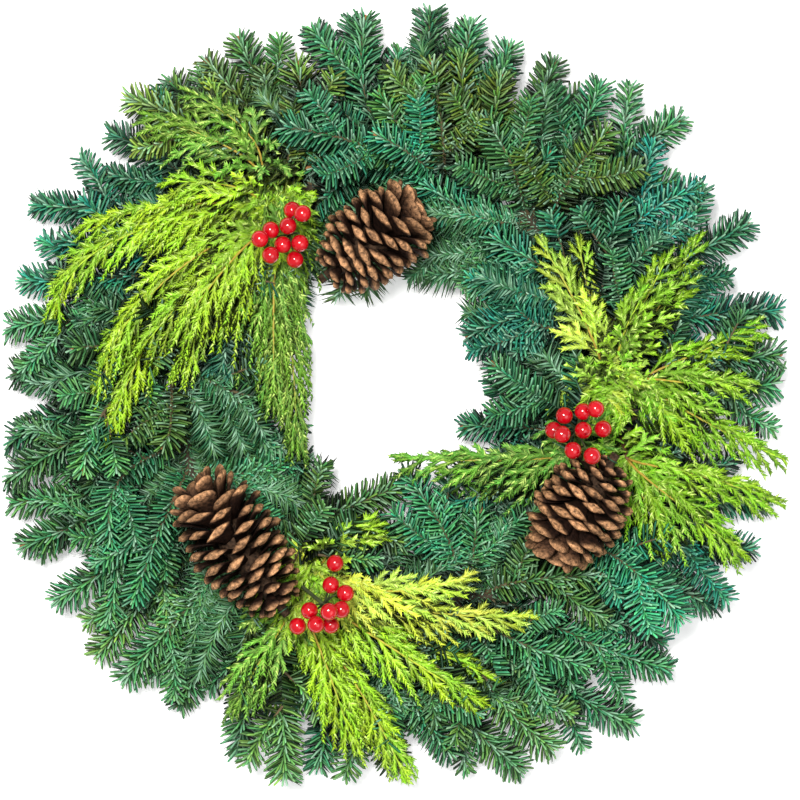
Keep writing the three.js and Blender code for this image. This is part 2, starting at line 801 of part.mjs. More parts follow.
// Cones: rows of diamonds round a spindle, each diamond raised to a woody scale
function spindleRadius(share, widest) {
  const swell = Math.sin(Math.PI * share ** 0.85) ** 0.8;
  return widest * (CONE_END_WIDTH + (1 - CONE_END_WIDTH) * swell);
}

function coneFrame(cone) {
  const base = vec(...cone.base);
  const tip = vec(...cone.tip);
  const axis = tip.clone().sub(base);
  const length = axis.length();
  axis.normalize();
  const left = vec(0, 0, 1).cross(axis).normalize();
  return { base, tip, axis, length, left, up: axis.clone().cross(left) };
}

function conePoint(frame, along, radius, angle) {
  return frame.base.clone()
    .addScaledVector(frame.axis, along)
    .addScaledVector(frame.left, radius * Math.cos(angle))
    .addScaledVector(frame.up, radius * Math.sin(angle));
}

function coneSolid(cone) {
  const frame = coneFrame(cone);
  const skin = new Skin();
  const step = 2 * Math.PI / CONE_SIDES;
  const rowShare = (row) => CONE_FIRST_ROW + CONE_ROWS_SPAN * row / CONE_ROWS;
  const rings = [];
  for (let row = 0; row <= CONE_ROWS; row += 1) {
    const share = rowShare(row);
    const radius = spindleRadius(share, cone.radius * CONE_CORE_SHARE);
    const corners = [];
    for (let i = 0; i < CONE_SIDES; i += 1) {
      corners.push(conePoint(frame, share * frame.length, radius, (i + (row % 2) / 2) * step));
    }
    rings.push(skin.ring(corners));
  }
  const baseTop = skin.points.push(conePoint(frame, 0, 0, 0)) - 1;
  const tipTop = skin.points.push(conePoint(frame, frame.length * CONE_POINT, 0, 0)) - 1;
  for (let i = 0; i < CONE_SIDES; i += 1) {
    const j = (i + 1) % CONE_SIDES;
    skin.faces.push([rings[0] + j, rings[0] + i, baseTop]);
    skin.faces.push([rings[CONE_ROWS] + i, rings[CONE_ROWS] + j, tipTop]);
  }
  for (let i = 0; i < CONE_SIDES; i += 1) {
    endTriangle(skin, rings[0], rings[1], i, 0);
    endTriangle(skin, rings[CONE_ROWS], rings[CONE_ROWS - 1], i, CONE_ROWS % 2);
  }
  for (let row = 1; row < CONE_ROWS; row += 1) {
    for (let i = 0; i < CONE_SIDES; i += 1) raiseScale(skin, frame, cone, rings, row, i, rowShare(row));
  }
  const stalk = tube([
    frame.base.clone().addScaledVector(frame.axis, -STALK_LENGTH),
    frame.base.clone().addScaledVector(frame.axis, STALK_ROOT),
  ], STALK_RADIUS, STALK_SIDES);
  return skin.solid().add(stalk);
}

// Half diamond that closes the first or the last row
function endTriangle(skin, edgeRing, nextRing, i, shifted) {
  const j = (i + 1) % CONE_SIDES;
  const between = shifted ? j : i;
  if (edgeRing < nextRing) skin.faces.push([edgeRing + i, edgeRing + j, nextRing + between]);
  else skin.faces.push([edgeRing + j, edgeRing + i, nextRing + between]);
}

function raiseScale(skin, frame, cone, rings, row, i, share) {
  const shifted = row % 2;
  const j = (i + 1) % CONE_SIDES;
  const step = 2 * Math.PI / CONE_SIDES;
  const between = shifted ? j : i;
  const low = rings[row - 1] + between;
  const high = rings[row + 1] + between;
  const right = rings[row] + i;
  const leftCorner = rings[row] + j;
  const angle = (i + shifted / 2 + 0.5) * step;
  const reach = spindleRadius(share, cone.radius);
  const lean = frame.length * (SCALE_LEAN.base + SCALE_LEAN.growth * share);
  const along = share * frame.length + lean;
  const halfWidth = SCALE_HALF_WIDTH * step;
  const halfThick = frame.length * SCALE_HALF_THICKNESS;
  const rim = [
    conePoint(frame, along - halfThick, reach * SCALE_LOWER_RIM, angle),
    conePoint(frame, along, reach * SCALE_RIM, angle + halfWidth),
    conePoint(frame, along + halfThick, reach * SCALE_RIM, angle),
    conePoint(frame, along, reach * SCALE_RIM, angle - halfWidth),
  ];
  const first = skin.ring(rim);
  const foot = [low, leftCorner, high, right];
  for (let side = 0; side < 4; side += 1) {
    const next = (side + 1) % 4;
    skin.quad(foot[side], foot[next], first + next, first + side);
  }
  const knob = skin.points.push(conePoint(frame, along, reach, angle)) - 1;
  for (let side = 0; side < 4; side += 1) skin.faces.push([first + side, first + (side + 1) % 4, knob]);
}

function buildCones() {
  CONES.forEach((cone, index) => {
    const name = `cone_${index + 1}`;
    addPart(name, coneSolid(cone), CONE_BROWN, 0.8, 0);
    const frame = coneFrame(cone);
    const thickFrom = frame.base.clone().lerp(frame.tip, CONE_CLEAR.from);
    const thickTo = frame.base.clone().lerp(frame.tip, CONE_CLEAR.to);
    place(thickFrom, thickTo, cone.radius, name, 0);
    const stalkEnd = frame.base.clone().addScaledVector(frame.axis, -STALK_LENGTH);
    place(stalkEnd, frame.base.clone(), STALK_RADIUS, name, 0);
  });
}

// Corner radius of a wire eye whose flats still clear what it goes round
function eyeRadius(inside) {
  return (inside + SEAT_GAP + WIRE_RADIUS) / Math.cos(Math.PI / EYE_CORNERS);
}

// Cone wires: an eye round the stalk, a tail down to the ring, an eye round one rail
function buildConeWires() {
  CONES.forEach((cone, index) => {
    const name = `cone_wire_${index + 1}`;
    const frame = coneFrame(cone);
    const stalkEye = frame.base.clone().addScaledVector(frame.axis, -STALK_LENGTH * STALK_EYE_SHARE);
    const railEye = onCircle(RAIL_RADII[cone.hookRail], cone.hookBearing, RAIL_HEIGHT);
    const stalkLoop = eyeRadius(STALK_RADIUS);
    const railLoop = eyeRadius(RAIL_WIRE_RADIUS);
    const down = vec(0, 0, -1).addScaledVector(frame.axis, frame.axis.z).normalize();
    const tailTop = stalkEye.clone().addScaledVector(down, stalkLoop);
    const tailFoot = railEye.clone().add(vec(0, 0, railLoop));
    const bend = tailFoot.clone().lerp(tailTop, TAIL_BEND.share).setZ(tailFoot.z + TAIL_BEND.rise);
    const tail = [tailTop, bend, tailFoot];
    addPart(name, joined([
      roundLoop(stalkEye, frame.axis, stalkLoop, EYE_CORNERS, WIRE_RADIUS, WIRE_SIDES, EYE_TURN),
      roundLoop(
        railEye, alongRing(cone.hookBearing), railLoop, EYE_CORNERS, WIRE_RADIUS, WIRE_SIDES, EYE_TURN,
      ),
      tube(tail, WIRE_RADIUS, WIRE_SIDES),
    ]), WIRE_GREY, 0.45, 0.8);
    placePath(tail, WIRE_RADIUS, name, 0);
    place(railEye, railEye, railLoop + WIRE_RADIUS, name, 0);
    place(stalkEye, stalkEye, stalkLoop + WIRE_RADIUS, name, 0);
  });
}

function slotPoint(tieBearing, slot) {
  return onCircle(CEDAR_FIRST_SLOT + CEDAR_SLOT_STEP * slot, tieBearing, TIED_HEIGHT);
}

// Stem that lies on the rails under a tie wire, then rises out of it towards a place in the foliage
function tiedStem(tieBearing, slot, way, toward, reach, rise) {
  const middle = slotPoint(tieBearing, slot);
  const along = alongRing(tieBearing).multiplyScalar(way);
  const lead = middle.clone().addScaledVector(along, CEDAR_LEAD);
  const heading = toward.clone().sub(lead).setZ(0).normalize().add(along).normalize();
  return [
    middle.clone().addScaledVector(along, -CEDAR_TAIL),
    lead,
    lead.clone().addScaledVector(heading, reach).add(vec(0, 0, rise)),
  ];
}

// Berry picks
function growBerry(stem, hub, center) {
  const away = center.clone().sub(hub).setZ(0);
  const axis = away.multiplyScalar(BERRY_LEAN / Math.max(1, away.length())).add(vec(0, 0, 1)).normalize();
  const neckPlace = center.clone().addScaledVector(axis, -BERRY_RADIUS);
  const frame = crossDirections([axis])[0];
  const root = stem.startShoot(hub, neckPlace, neckPlace, BERRY_STEM_RADIUS, 3);
  const { skin } = root;
  const turn = turnToRoot(root, frame);
  const neck = skin.ring(roundRing(neckPlace, frame, BERRY_STEM_RADIUS, 3, turn));
  for (let i = 0; i < 3; i += 1) {
    const j = (i + 1) % 3;
    skin.quad(root.corners[i], root.corners[j], neck + j, neck + i);
  }
  const belts = BERRY_BELTS.map((latitude) => skin.ring(roundRing(
    center.clone().addScaledVector(axis, BERRY_RADIUS * Math.sin(radians(latitude))),
    frame, BERRY_RADIUS * Math.cos(radians(latitude)), 6, turn)));
  for (let i = 0; i < 3; i += 1) {
    const j = (i + 1) % 3;
    const low = belts[0] + 2 * i;
    skin.faces.push([neck + i, low + 1, low], [neck + i, neck + j, low + 1]);
    skin.faces.push([neck + j, belts[0] + 2 * j, low + 1]);
  }
  for (let i = 1; i < belts.length; i += 1) skin.wall(belts[i - 1], belts[i], 6);
  skin.endPoint(belts[belts.length - 1], 6, center.clone().addScaledVector(axis, BERRY_RADIUS));
}

// Berries sit on a low dome over the hub, each raised until it is clear of the others
function berryCenters(pick) {
  const centers = [];
  for (const [x, y] of pick.berries) {
    const away = Math.hypot(x - pick.hub[0], y - pick.hub[1]);
    const dome = BERRY_DOME * Math.cos(Math.min(1, away / BERRY_DOME_REACH) * Math.PI / 2);
    const center = vec(x, y, BERRY_HEIGHT + dome);
    while (centers.some((other) => other.distanceTo(center) < 2 * BERRY_RADIUS + SEAT_GAP)) center.z += 1;
    while (gapAround(center, center, BERRY_RADIUS, 2 * BERRY_GAP, () => false) < BERRY_GAP) center.z += 1;
    centers.push(center);
  }
  return centers;
}

function buildPicks() {
  PICKS.forEach((pick, index) => {
    const name = `berry_pick_${index + 1}`;
    const tieBearing = CEDAR_GROUPS[pick.group].tieBearing;
    const hub = vec(...pick.hub);
    const stem = tiedStem(tieBearing, pick.slot, 1, hub, PICK_REACH, PICK_RISE);
    stem.push(hub);
    const centers = berryCenters(pick);
    placePath(stem, PICK_STEM_RADIUS, name, 0);
    const crown = stem.pop();
    const neck = crown.clone().sub(stem[2]).normalize();
    for (const back of CROWN_STEPS) stem.push(crown.clone().addScaledVector(neck, -back));
    const skin = stemSkin(stem, PICK_STEM_RADIUS, 5, 3, false);
    for (const center of centers) {
      growBerry(skin, crown, center);
      place(center, center, BERRY_RADIUS, name, 0);
      place(crown, center, BERRY_STEM_RADIUS, name, 0);
    }
    addPart(name, skin.solid(), BERRY_RED, 0.2, 0);
  });
}

function bezier(a, b, c, d) {
  return new THREE.CubicBezierCurve3(a, b, c, d);
}

function samples(curve, count) {
  const points = [];
  for (let i = 0; i <= count; i += 1) points.push(curve.getPointAt(i / count));
  return points;
}

// Raises the outer half of a path in steps until it is clear of everything placed
function clearedCurve(makeCurve, radius, wanted, limit, step, skip) {
  let best = null;
  for (let rise = 0; rise <= limit; rise += step) {
    for (const signed of rise ? [rise, -rise] : [0]) {
      const curve = makeCurve(signed);
      if (!curve) continue;
      const points = samples(curve, TWIG_PIECES);
      let gap = Infinity;
      for (let i = 1; i < points.length; i += 1) {
        gap = Math.min(gap, gapAround(points[i - 1], points[i], radius, wanted, (other) => skip(other, i)));
      }
      if (!best || gap > best.gap + 0.01) best = { curve, points, gap };
      if (gap >= wanted) return best;
    }
  }
  return best;
}

// Cedar fronds
const fronds = [];

function frondCurve(stem, start, row, heights) {
  const [tipX, tipY, bendX, bendY] = row;
  const heading = stem[2].clone().sub(stem[1]).normalize();
  return (rise) => {
    const tip = vec(tipX, tipY, heights.tip + rise);
    const bend = vec(bendX, bendY, heights.bend + rise);
    if (tip.z < FROND_HEIGHT.lowest) return null;
    const ahead = start.clone().addScaledVector(heading, FROND_LEAD);
    const first = ahead.lerp(vec(bendX, bendY, bend.z), FROND_TURN);
    return bezier(start, first, bend, tip);
  };
}

function meanPlace(rows) {
  const sum = rows.reduce((total, row) => total.add(vec(row[2], row[3], 0)), vec(0, 0, 0));
  return sum.divideScalar(rows.length);
}

function placeFronds() {
  let count = 0;
  for (const group of CEDAR_GROUPS) {
    group.branches.forEach((branch, number) => {
      const owner = `cedar_${group.name}_${number + 1}`;
      const toward = meanPlace(branch.fronds);
      const stem = tiedStem(group.tieBearing, branch.slot, branch.way, toward, CEDAR_REACH, CEDAR_RISE);
      placePath(stem, CEDAR_STEM_RADIUS + CEDAR_STEM_MARGIN, owner, -1);
      branch.fronds.forEach((row, order) => {
        const start = frondStart(stem, order);
        const bend = FROND_HEIGHT.low + FROND_HEIGHT.spread * scatter(count);
        const heights = { bend, tip: bend - FROND_HEIGHT.tipDrop };
        const makeCurve = frondCurve(stem, start, row, heights);
        const found = clearedCurve(makeCurve, FROND_HALF_WIDTH, FROND_GAP, FROND_HEIGHT.riseLimit,
          FROND_HEIGHT.riseStep,
          (other, piece) => other.owner === owner && (piece <= 1 || other.part <= 1));
        placeFlare(found.curve, stem, CEDAR_STEM_RADIUS + CEDAR_CLEARANCE, FROND_HALF_WIDTH, owner);
        found.points.forEach((point, i) => {
          if (!i) return;
          place(found.points[i - 1], point, FROND_HALF_WIDTH, owner, i);
          placed[placed.length - 1].frond = count;
        });
        fronds.push({ owner, curve: found.curve, index: count, tint: branch.tint, stem });
        count += 1;
      });
    });
  }
}

function frondProfile(share) {
  const rise = Math.min(1, share / FROND_WIDEST_AT);
  const fall = 1 - Math.max(0, share - FROND_WIDEST_AT) / (1 - FROND_WIDEST_AT);
  return FROND_SHORTEST + (FROND_LONGEST - FROND_SHORTEST) * Math.sin(rise * Math.PI / 2) * fall ** 0.8;
}

// A flat side branchlet, shortened or turned until it is clear of everything placed
function branchletTip(foot, edges, frame, side, length, choices, frond) {
  for (const share of choices.shares) {
    for (const angle of choices.angles) {
      const direction = frame.tangent.clone().multiplyScalar(Math.cos(radians(angle)))
        .addScaledVector(frame.left, side * Math.sin(radians(angle)));
      const tip = foot.clone().addScaledVector(direction, length * share);
      const lines = [foot, ...edges].map((end) => [end.clone().lerp(tip, BRANCHLET_FOOT), tip]);
      if (crossesHole(...lines[0]) || Math.hypot(tip.x, tip.y) > BRANCHLET_REACH) continue;
      const own = (other) => other.frond === frond.index
        && (!other.foot || (other.foot.distanceTo(foot) < FROND_BASE && other.side === side));
      if (lines.some(([a, b]) => gapAround(a, b, BRANCHLET_RADIUS, NEEDLE_GAP, own) < NEEDLE_GAP)) continue;
      for (const [a, b] of lines) {
        place(a, b, BRANCHLET_RADIUS, frond.owner, 2);
        Object.assign(placed[placed.length - 1], { foot, side, frond: frond.index });
      }
      return tip;
    }
  }
  return null;
}

function growFrond(stem, frond) {
  const length = frond.curve.getLength();
  const bare = Math.max(FROND_SHORTEST_BARE, length * FROND_BARE_SHARE);
  const leafy = length - bare;
  const pairs = Math.max(LEAST_PAIRS, Math.round(leafy / FROND_PITCH));
  const stations = [clearOfStem(frond.curve, length, frond.stem, CEDAR_STEM_RADIUS + CEDAR_CLEARANCE)];
  const bands = [];
  for (let i = 0; i < pairs; i += 1) {
    const at = bare + leafy * (i + FIRST_PAIR) / pairs;
    bands.push(stations.length);
    stations.push(at, at + FROND_BASE);
  }
  const shares = stations.map((at) => Math.min(LAST_FROND_RING, at / length));
  const frames = shares.map((share) => {
    const tangent = frond.curve.getTangentAt(share);
    const left = vec(0, 0, 1).cross(tangent).normalize();
    return { tangent, left, up: tangent.clone().cross(left) };
  });
  const root = stem.startShoot(frond.curve.getPointAt(0), frond.curve.getPointAt(shares[0]),
    frond.curve.getPointAt(Math.min(FARTHEST_SHARE, shares[0] + AHEAD / length)), FROND_HALF_WIDTH, 4);
  const { skin } = root;
  const quarter = Math.PI / 2;
  const turn = Math.round((turnToRoot(root, frames[0]) - quarter / 2) / quarter);
  const corners = [[1, 1], [-1, 1], [-1, -1], [1, -1]];
  const rings = shares.map((share, i) => {
    const center = frond.curve.getPointAt(share);
    const wide = FROND_HALF_WIDTH * (1 - FROND_THINNING.wide * share);
    const thick = FROND_HALF_THICKNESS * (1 - FROND_THINNING.thick * share);
    return skin.ring(corners.map(([a, b]) => center.clone()
      .addScaledVector(frames[i].left, a * wide)
      .addScaledVector(frames[i].up, b * thick)));
  });
  for (let i = 0; i < 4; i += 1) {
    const from = ((i + turn) % 4 + 4) % 4;
    const to = (from + 1) % 4;
    skin.quad(root.corners[i], root.corners[(i + 1) % 4], rings[0] + to, rings[0] + from);
  }
  for (let i = 1; i < rings.length; i += 1) {
    const band = bands.indexOf(i - 1);
    if (band < 0) skin.wall(rings[i - 1], rings[i], 4);
    else leafyWall(skin, rings[i - 1], rings[i], frames[i - 1], frond, (band + FIRST_PAIR) / pairs);
  }
  skin.endPoint(rings[rings.length - 1], 4, frond.curve.getPointAt(1));
}

function leafyWall(skin, lower, upper, frame, frond, share) {
  for (let i = 0; i < 4; i += 1) {
    const j = (i + 1) % 4;
    const side = i === 1 ? -1 : 1;
    for (const corners of [[lower + i, lower + j, upper + j], [lower + i, upper + j, upper + i]]) {
      const foot = centroid(skin, corners);
      const ahead = foot.clone().sub(skin.points[lower]).dot(frame.tangent) > FROND_BASE / 2;
      const choices = ahead ? BRANCHLET_AHEAD : BRANCHLET_BEHIND;
      const edges = corners.map((corner) => skin.points[corner]);
      const reach = frondProfile(share);
      const tip = i % 2 ? branchletTip(foot, edges, frame, side, reach, choices, frond) : null;
      skin.triangle(...corners, tip);
    }
  }
}

// The first frond goes on from the end of the stem, the others leave it below, one step apart
function frondStart(stem, order) {
  const length = stem[1].distanceTo(stem[2]);
  return stem[1].clone().lerp(stem[2], 1 - Math.max(0, order - 0.5) * CEDAR_STEM_STEP / length);
}

// Rings along the end of a stem, one step apart, as many steps as there are side shoots
function budPlaces(lead, end, count) {
  const length = lead.distanceTo(end);
  const places = [];
  for (let i = count; i >= 0; i -= 1) places.push(lead.clone().lerp(end, 1 - i * CEDAR_STEM_STEP / length));
  return places;
}

function buildFronds() {
  for (const group of CEDAR_GROUPS) {
    group.branches.forEach((branch, number) => {
      const owner = `cedar_${group.name}_${number + 1}`;
      const own = fronds.filter((frond) => frond.owner === owner);
      const [tail, lead, end] = own[0].stem;
      const path = [tail, lead, ...budPlaces(lead, end, own.length - 1)];
      const skin = stemSkin(path, CEDAR_STEM_RADIUS, CEDAR_STEM_SIDES, 2, true);
      own.forEach((frond) => growFrond(skin, frond));
      addPart(owner, skin.solid(), CEDAR[branch.tint], 0.55, 0);
    });
  }
}

// Fir twigs
const twigs = [];

function bunchOf(rootX, rootY) {
  const lead = bearingOf(rootX, rootY) - BUNCH_LEAD_BEARING - CLAMP_FIRST_BEARING;
  return ((Math.round(lead / CLAMP_STEP) % CLAMP_COUNT) + CLAMP_COUNT) % CLAMP_COUNT;
}

function bunchName(index) {
  return `fir_bunch_${String(index + 1).padStart(2, "0")}`;
}

function twigCurve(start, along, row, height, arch) {
  const [tipX, tipY, rootX, rootY] = row;
  return (rise) => {
    const tip = vec(tipX, tipY, height + rise);
    if (tip.z < LOWEST_TWIG_TIP) return null;
    const root = vec(rootX, rootY, height + rise + arch);
    const first = start.clone().lerp(root, TWIG_TURN.share).addScaledVector(along, TWIG_TURN.lead);
    return bezier(start, first, root, tip);
  };
}

// Branch path: tail, through the clamp, then rising along the ring
function branchPath(index) {
  const middle = onCircle(RING_RADIUS, clampBearing(index), BRANCH_HEIGHT);
  const along = alongRing(clampBearing(index));
  return [
    middle.clone().addScaledVector(along, -BRANCH_TAIL),
    middle.clone().addScaledVector(along, BRANCH_KNEE),
    middle.clone().addScaledVector(along, BRANCH_LEAD).add(vec(0, 0, BRANCH_RISE)),
  ];
}

function branchPoint(index, distance) {
  const [, knee, lead] = branchPath(index);
  return knee.clone().lerp(lead, (distance - BRANCH_KNEE) / (BRANCH_LEAD - BRANCH_KNEE));
}

function placeBranches() {
  for (let index = 0; index < CLAMP_COUNT; index += 1) {
    placePath(branchPath(index), BRANCH_RADIUS, bunchName(index), -1);
  }
}

// Twigs leave the branch in the order of their bearings, so that none cross
function startDistance(row, siblings, bunch) {
  const ahead = (other) => (bearingOf(other[2], other[3]) - clampBearing(bunch) + 540) % 360;
  const rank = siblings.filter((other) => ahead(other) < ahead(row)).length;
  const spacing = (TWIG_LAST_START - TWIG_FIRST_START) / Math.max(1, siblings.length - 1);
  return TWIG_FIRST_START + spacing * rank;
}

function placeTwigs() {
  const all = TWIG_ROWS.flatMap((tier) => tier.twigs);
  let count = 0;
  for (const tier of TWIG_ROWS) {
    for (const row of tier.twigs) {
      const bunch = bunchOf(row[2], row[3]);
      const owner = bunchName(bunch);
      const along = alongRing(clampBearing(bunch));
      const siblings = all.filter((other) => bunchOf(other[2], other[3]) === bunch);
      const start = branchPoint(bunch, startDistance(row, siblings, bunch));
      const height = tier.low + tier.spread * scatter(count);
      const makeCurve = twigCurve(start, along, row, height, tier.arch);
      const found = clearedCurve(makeCurve, TWIG_ROOT_RADIUS, TWIG_GAP, TWIG_RISE_LIMIT, TWIG_RISE_STEP,
        (other, piece) => (piece <= 1 && other.owner === "ring")
          || (other.owner === owner && (piece <= 1 || other.part <= 1)));
      placeFlare(found.curve, branchPath(bunch), BRANCH_CLEARANCE, TWIG_ROOT_RADIUS, owner);
      found.points.forEach((point, i) => {
        if (!i) return;
        place(found.points[i - 1], point, TWIG_ROOT_RADIUS, owner, i);
        placed[placed.length - 1].twig = count;
      });
      twigs.push({ owner, bunch, curve: found.curve, index: count, tint: row[4] });
      count += 1;
    }
  }
}

// A needle's tip, turned or shortened until the needle is clear of everything placed
function needleTip(foot, frame, outward, forward, roll, owner, twig, band) {
  for (const share of NEEDLE_SHARES) {
    for (let attempt = 0; attempt < NEEDLE_TRIES; attempt += 1) {
      const usual = forward ? NEEDLE_SWEEP.forward : NEEDLE_SWEEP.outward;
      const sweep = radians(usual + NEEDLE_SWEEP.spread * roll());
      const tilt = (forward ? -NEEDLE_TILT : NEEDLE_TILT) * roll();
      const sideways = frame.tangent.clone().cross(outward);
      const direction = frame.tangent.clone().multiplyScalar(Math.cos(sweep))
        .addScaledVector(outward, Math.sin(sweep))
        .addScaledVector(sideways, tilt)
        .add(vec(0, 0, NEEDLE_LIFT))
        .normalize();
      const tip = foot.clone().addScaledVector(direction, NEEDLE_LENGTH * share);
      if (direction.dot(outward) < NEEDLE_LEAST_FACING || tip.z < LOWEST_FOLIAGE) continue;
      if (Math.hypot(tip.x, tip.y) > NEEDLE_REACH) continue;
      if (Math.max(Math.abs(tip.x), Math.abs(tip.y)) > WIDEST_REACH) continue;
      if (crossesHole(foot, tip)) continue;
      const cuts = NEEDLE_CUTS.map((part) => foot.clone().lerp(tip, part));
      const clear = NEEDLE_RADII.every((radius, i) => {
        const skip = (other) => i === 0 && other.twig === twig && (other.band ?? band) === band;
        return gapAround(cuts[i], cuts[i + 1], radius, NEEDLE_GAP, skip) >= NEEDLE_GAP;
      });
      if (!clear) continue;
      NEEDLE_RADII.forEach((radius, i) => {
        place(cuts[i], cuts[i + 1], radius, owner, i);
        Object.assign(placed[placed.length - 1], { twig, band });
      });
      return tip;
    }
  }
  return null;
}

// Wall between two close rings, some of its faces drawn out to needles
function needledWall(skin, lower, upper, frame, twig, band, roll) {
  let raised = 0;
  for (let step = 0; step < 6; step += 1) {
    const face = (step * 5 + band) % 6;
    const i = face >> 1;
    const j = (i + 1) % 3;
    const corners = face % 2 ? [lower + i, upper + j, upper + i] : [lower + i, lower + j, upper + j];
    const [a, b, c] = corners.map((corner) => skin.points[corner]);
    const foot = a.clone().add(b).add(c).divideScalar(3);
    const outward = b.clone().sub(a).cross(c.clone().sub(a)).normalize();
    const wanted = raised < NEEDLES_A_BAND;
    const odd = face % 2 === 1;
    const tip = wanted ? needleTip(foot, frame, outward, odd, roll, twig.owner, twig.index, band) : null;
    if (tip) raised += 1;
    skin.triangle(...corners, tip);
  }
}

function growTwig(branch, twig) {
  const roll = dice(500 + twig.index);
  const length = twig.curve.getLength();
  const stations = [clearOfStem(twig.curve, length, branchPath(twig.bunch), BRANCH_CLEARANCE)];
  const bare = Math.max(BARE_TWIG, stations[0] + 4);
  const leafy = length - bare;
  const bandCount = Math.max(LEAST_BANDS, Math.round(leafy / BAND_PITCH));
  const bands = [];
  for (let i = 0; i < bandCount; i += 1) {
    const at = bare + leafy * (i + FIRST_BAND) / bandCount;
    bands.push(stations.length);
    stations.push(at, at + NEEDLE_BASE);
  }
  const shares = stations.map((at) => Math.min(LAST_TWIG_RING, at / length));
  const frames = crossDirections(shares.map((share) => twig.curve.getTangentAt(share)));
  const root = branch.startShoot(twig.curve.getPointAt(0), twig.curve.getPointAt(shares[0]),
    twig.curve.getPointAt(Math.min(FARTHEST_SHARE, shares[0] + AHEAD / length)), TWIG_ROOT_RADIUS, 3);
  const { skin } = root;
  const turn = turnToRoot(root, frames[0]);
  const rings = shares.map((share, i) => {
    const radius = TWIG_ROOT_RADIUS + (TWIG_TIP_RADIUS - TWIG_ROOT_RADIUS) * Math.min(1, share / THIN_FROM);
    const twist = turn + RING_TWIST * Math.floor(i / 2);
    return skin.ring(roundRing(twig.curve.getPointAt(share), frames[i], radius, 3, twist));
  });
  for (let i = 0; i < 3; i += 1) {
    const j = (i + 1) % 3;
    skin.quad(root.corners[i], root.corners[j], rings[0] + j, rings[0] + i);
  }
  for (let i = 1; i < rings.length; i += 1) {
    const band = bands.indexOf(i - 1);
    if (band < 0) skin.wall(rings[i - 1], rings[i], 3);
    else needledWall(skin, rings[i - 1], rings[i], frames[i - 1], twig, band, roll);
  }
  skin.endPoint(rings[rings.length - 1], 3, twig.curve.getPointAt(1));
}

function buildBunches() {
  for (let index = 0; index < CLAMP_COUNT; index += 1) {
    const own = twigs.filter((twig) => twig.bunch === index);
    const [tail, knee, lead] = branchPath(index);
    const steps = BRANCH_STEPS;
    const path = [tail, knee];
    for (let i = 1; i <= steps; i += 1) path.push(knee.clone().lerp(lead, i / steps));
    const skin = stemSkin(path, BRANCH_RADIUS, BRANCH_SIDES, 1, false);
    own.forEach((twig) => growTwig(skin, twig));
    addPart(bunchName(index), skin.solid(), GREEN[own[0].tint], 0.6, 0);
  }
}

buildRing();
buildTies();
buildCones();
buildConeWires();
placeBranches();
buildPicks();
placeFronds();
placeTwigs();
buildFronds();
buildBunches();

export default parts;
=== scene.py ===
# Looks of a fresh evergreen wreath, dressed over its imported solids.
# Tables, curves and sizes are in millimetres, as in the part's own source; meshes are written in metres.

import math
from collections import namedtuple

import bpy
import numpy as np
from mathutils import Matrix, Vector


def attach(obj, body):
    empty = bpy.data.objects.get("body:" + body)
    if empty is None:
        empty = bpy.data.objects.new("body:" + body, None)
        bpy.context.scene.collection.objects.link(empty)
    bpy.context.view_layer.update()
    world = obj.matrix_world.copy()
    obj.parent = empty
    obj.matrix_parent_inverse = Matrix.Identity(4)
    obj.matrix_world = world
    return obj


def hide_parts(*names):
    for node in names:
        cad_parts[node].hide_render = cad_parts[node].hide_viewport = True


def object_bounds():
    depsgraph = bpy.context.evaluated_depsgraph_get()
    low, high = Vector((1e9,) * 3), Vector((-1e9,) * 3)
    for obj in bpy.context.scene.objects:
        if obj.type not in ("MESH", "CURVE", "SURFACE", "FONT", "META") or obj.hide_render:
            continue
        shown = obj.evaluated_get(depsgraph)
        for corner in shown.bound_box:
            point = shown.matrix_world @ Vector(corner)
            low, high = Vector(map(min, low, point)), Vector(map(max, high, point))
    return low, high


MM = 0.001
GOLDEN_SHARE = 0.618034
GOLDEN_ANGLE = 137.5078
CURVE_STEPS = 201
SEED = 1207


def vec(*values):
    return np.array(values, dtype=float)


UP = vec(0, 0, 1)
# Way in which loose foliage hangs when the wreath is on a wall
HANGING = vec(0, -1, 0)

# Ring frame
RAIL_RADII = (150, 178)
RAIL_WIRE_RADIUS = 2
RAIL_HEIGHT = 4.2
RAIL_CLEAR_STEP = 6
RING_RADIUS = 164
CLAMP_COUNT = 12
CLAMP_FIRST_BEARING = 9
CLAMP_STEP = 360 / CLAMP_COUNT
CLAMP_WIDTH = 11
CLAMP_THICKNESS = 2.4
CLAMP_HALF_SPAN = 22
CLAMP_SIDE_HEIGHT = 9
CLAMP_CLOSED_HEIGHT = 10.6
CLAMP_MOUTH = 0.8
CLAMP_CLEAR_TURNS = (-1.5, 0, 1.5)
CLAMP_CLEAR_HEIGHT = 5
CLAMP_CLEAR_RADIUS = 6

# Fir branches and twigs
BRANCH_RADIUS = 4
BRANCH_HEIGHT = 6.5
BRANCH_TAIL = 24
BRANCH_KNEE = 8
BRANCH_LEAD = 50
BRANCH_RISE = 20
TWIG_FIRST_START = 11
TWIG_LAST_START = 47
TWIG_ROOT_RADIUS = 1.8
TWIG_TIP_RADIUS = 1.1
PATH_PIECES = 8
TWIG_GAP = 3
TWIG_RISE_STEP = 4
TWIG_RISE_LIMIT = 36
LOWEST_TWIG_TIP = 10
TWIG_TURN_SHARE = 0.35
TWIG_TURN_LEAD = 8
BUNCH_LEAD_BEARING = 18
BRANCH_CLEARANCE = BRANCH_RADIUS + TWIG_ROOT_RADIUS + 0.9
FIRST_RING_LEAST = 13
FIRST_RING_MOST = 32
FLARE = 1

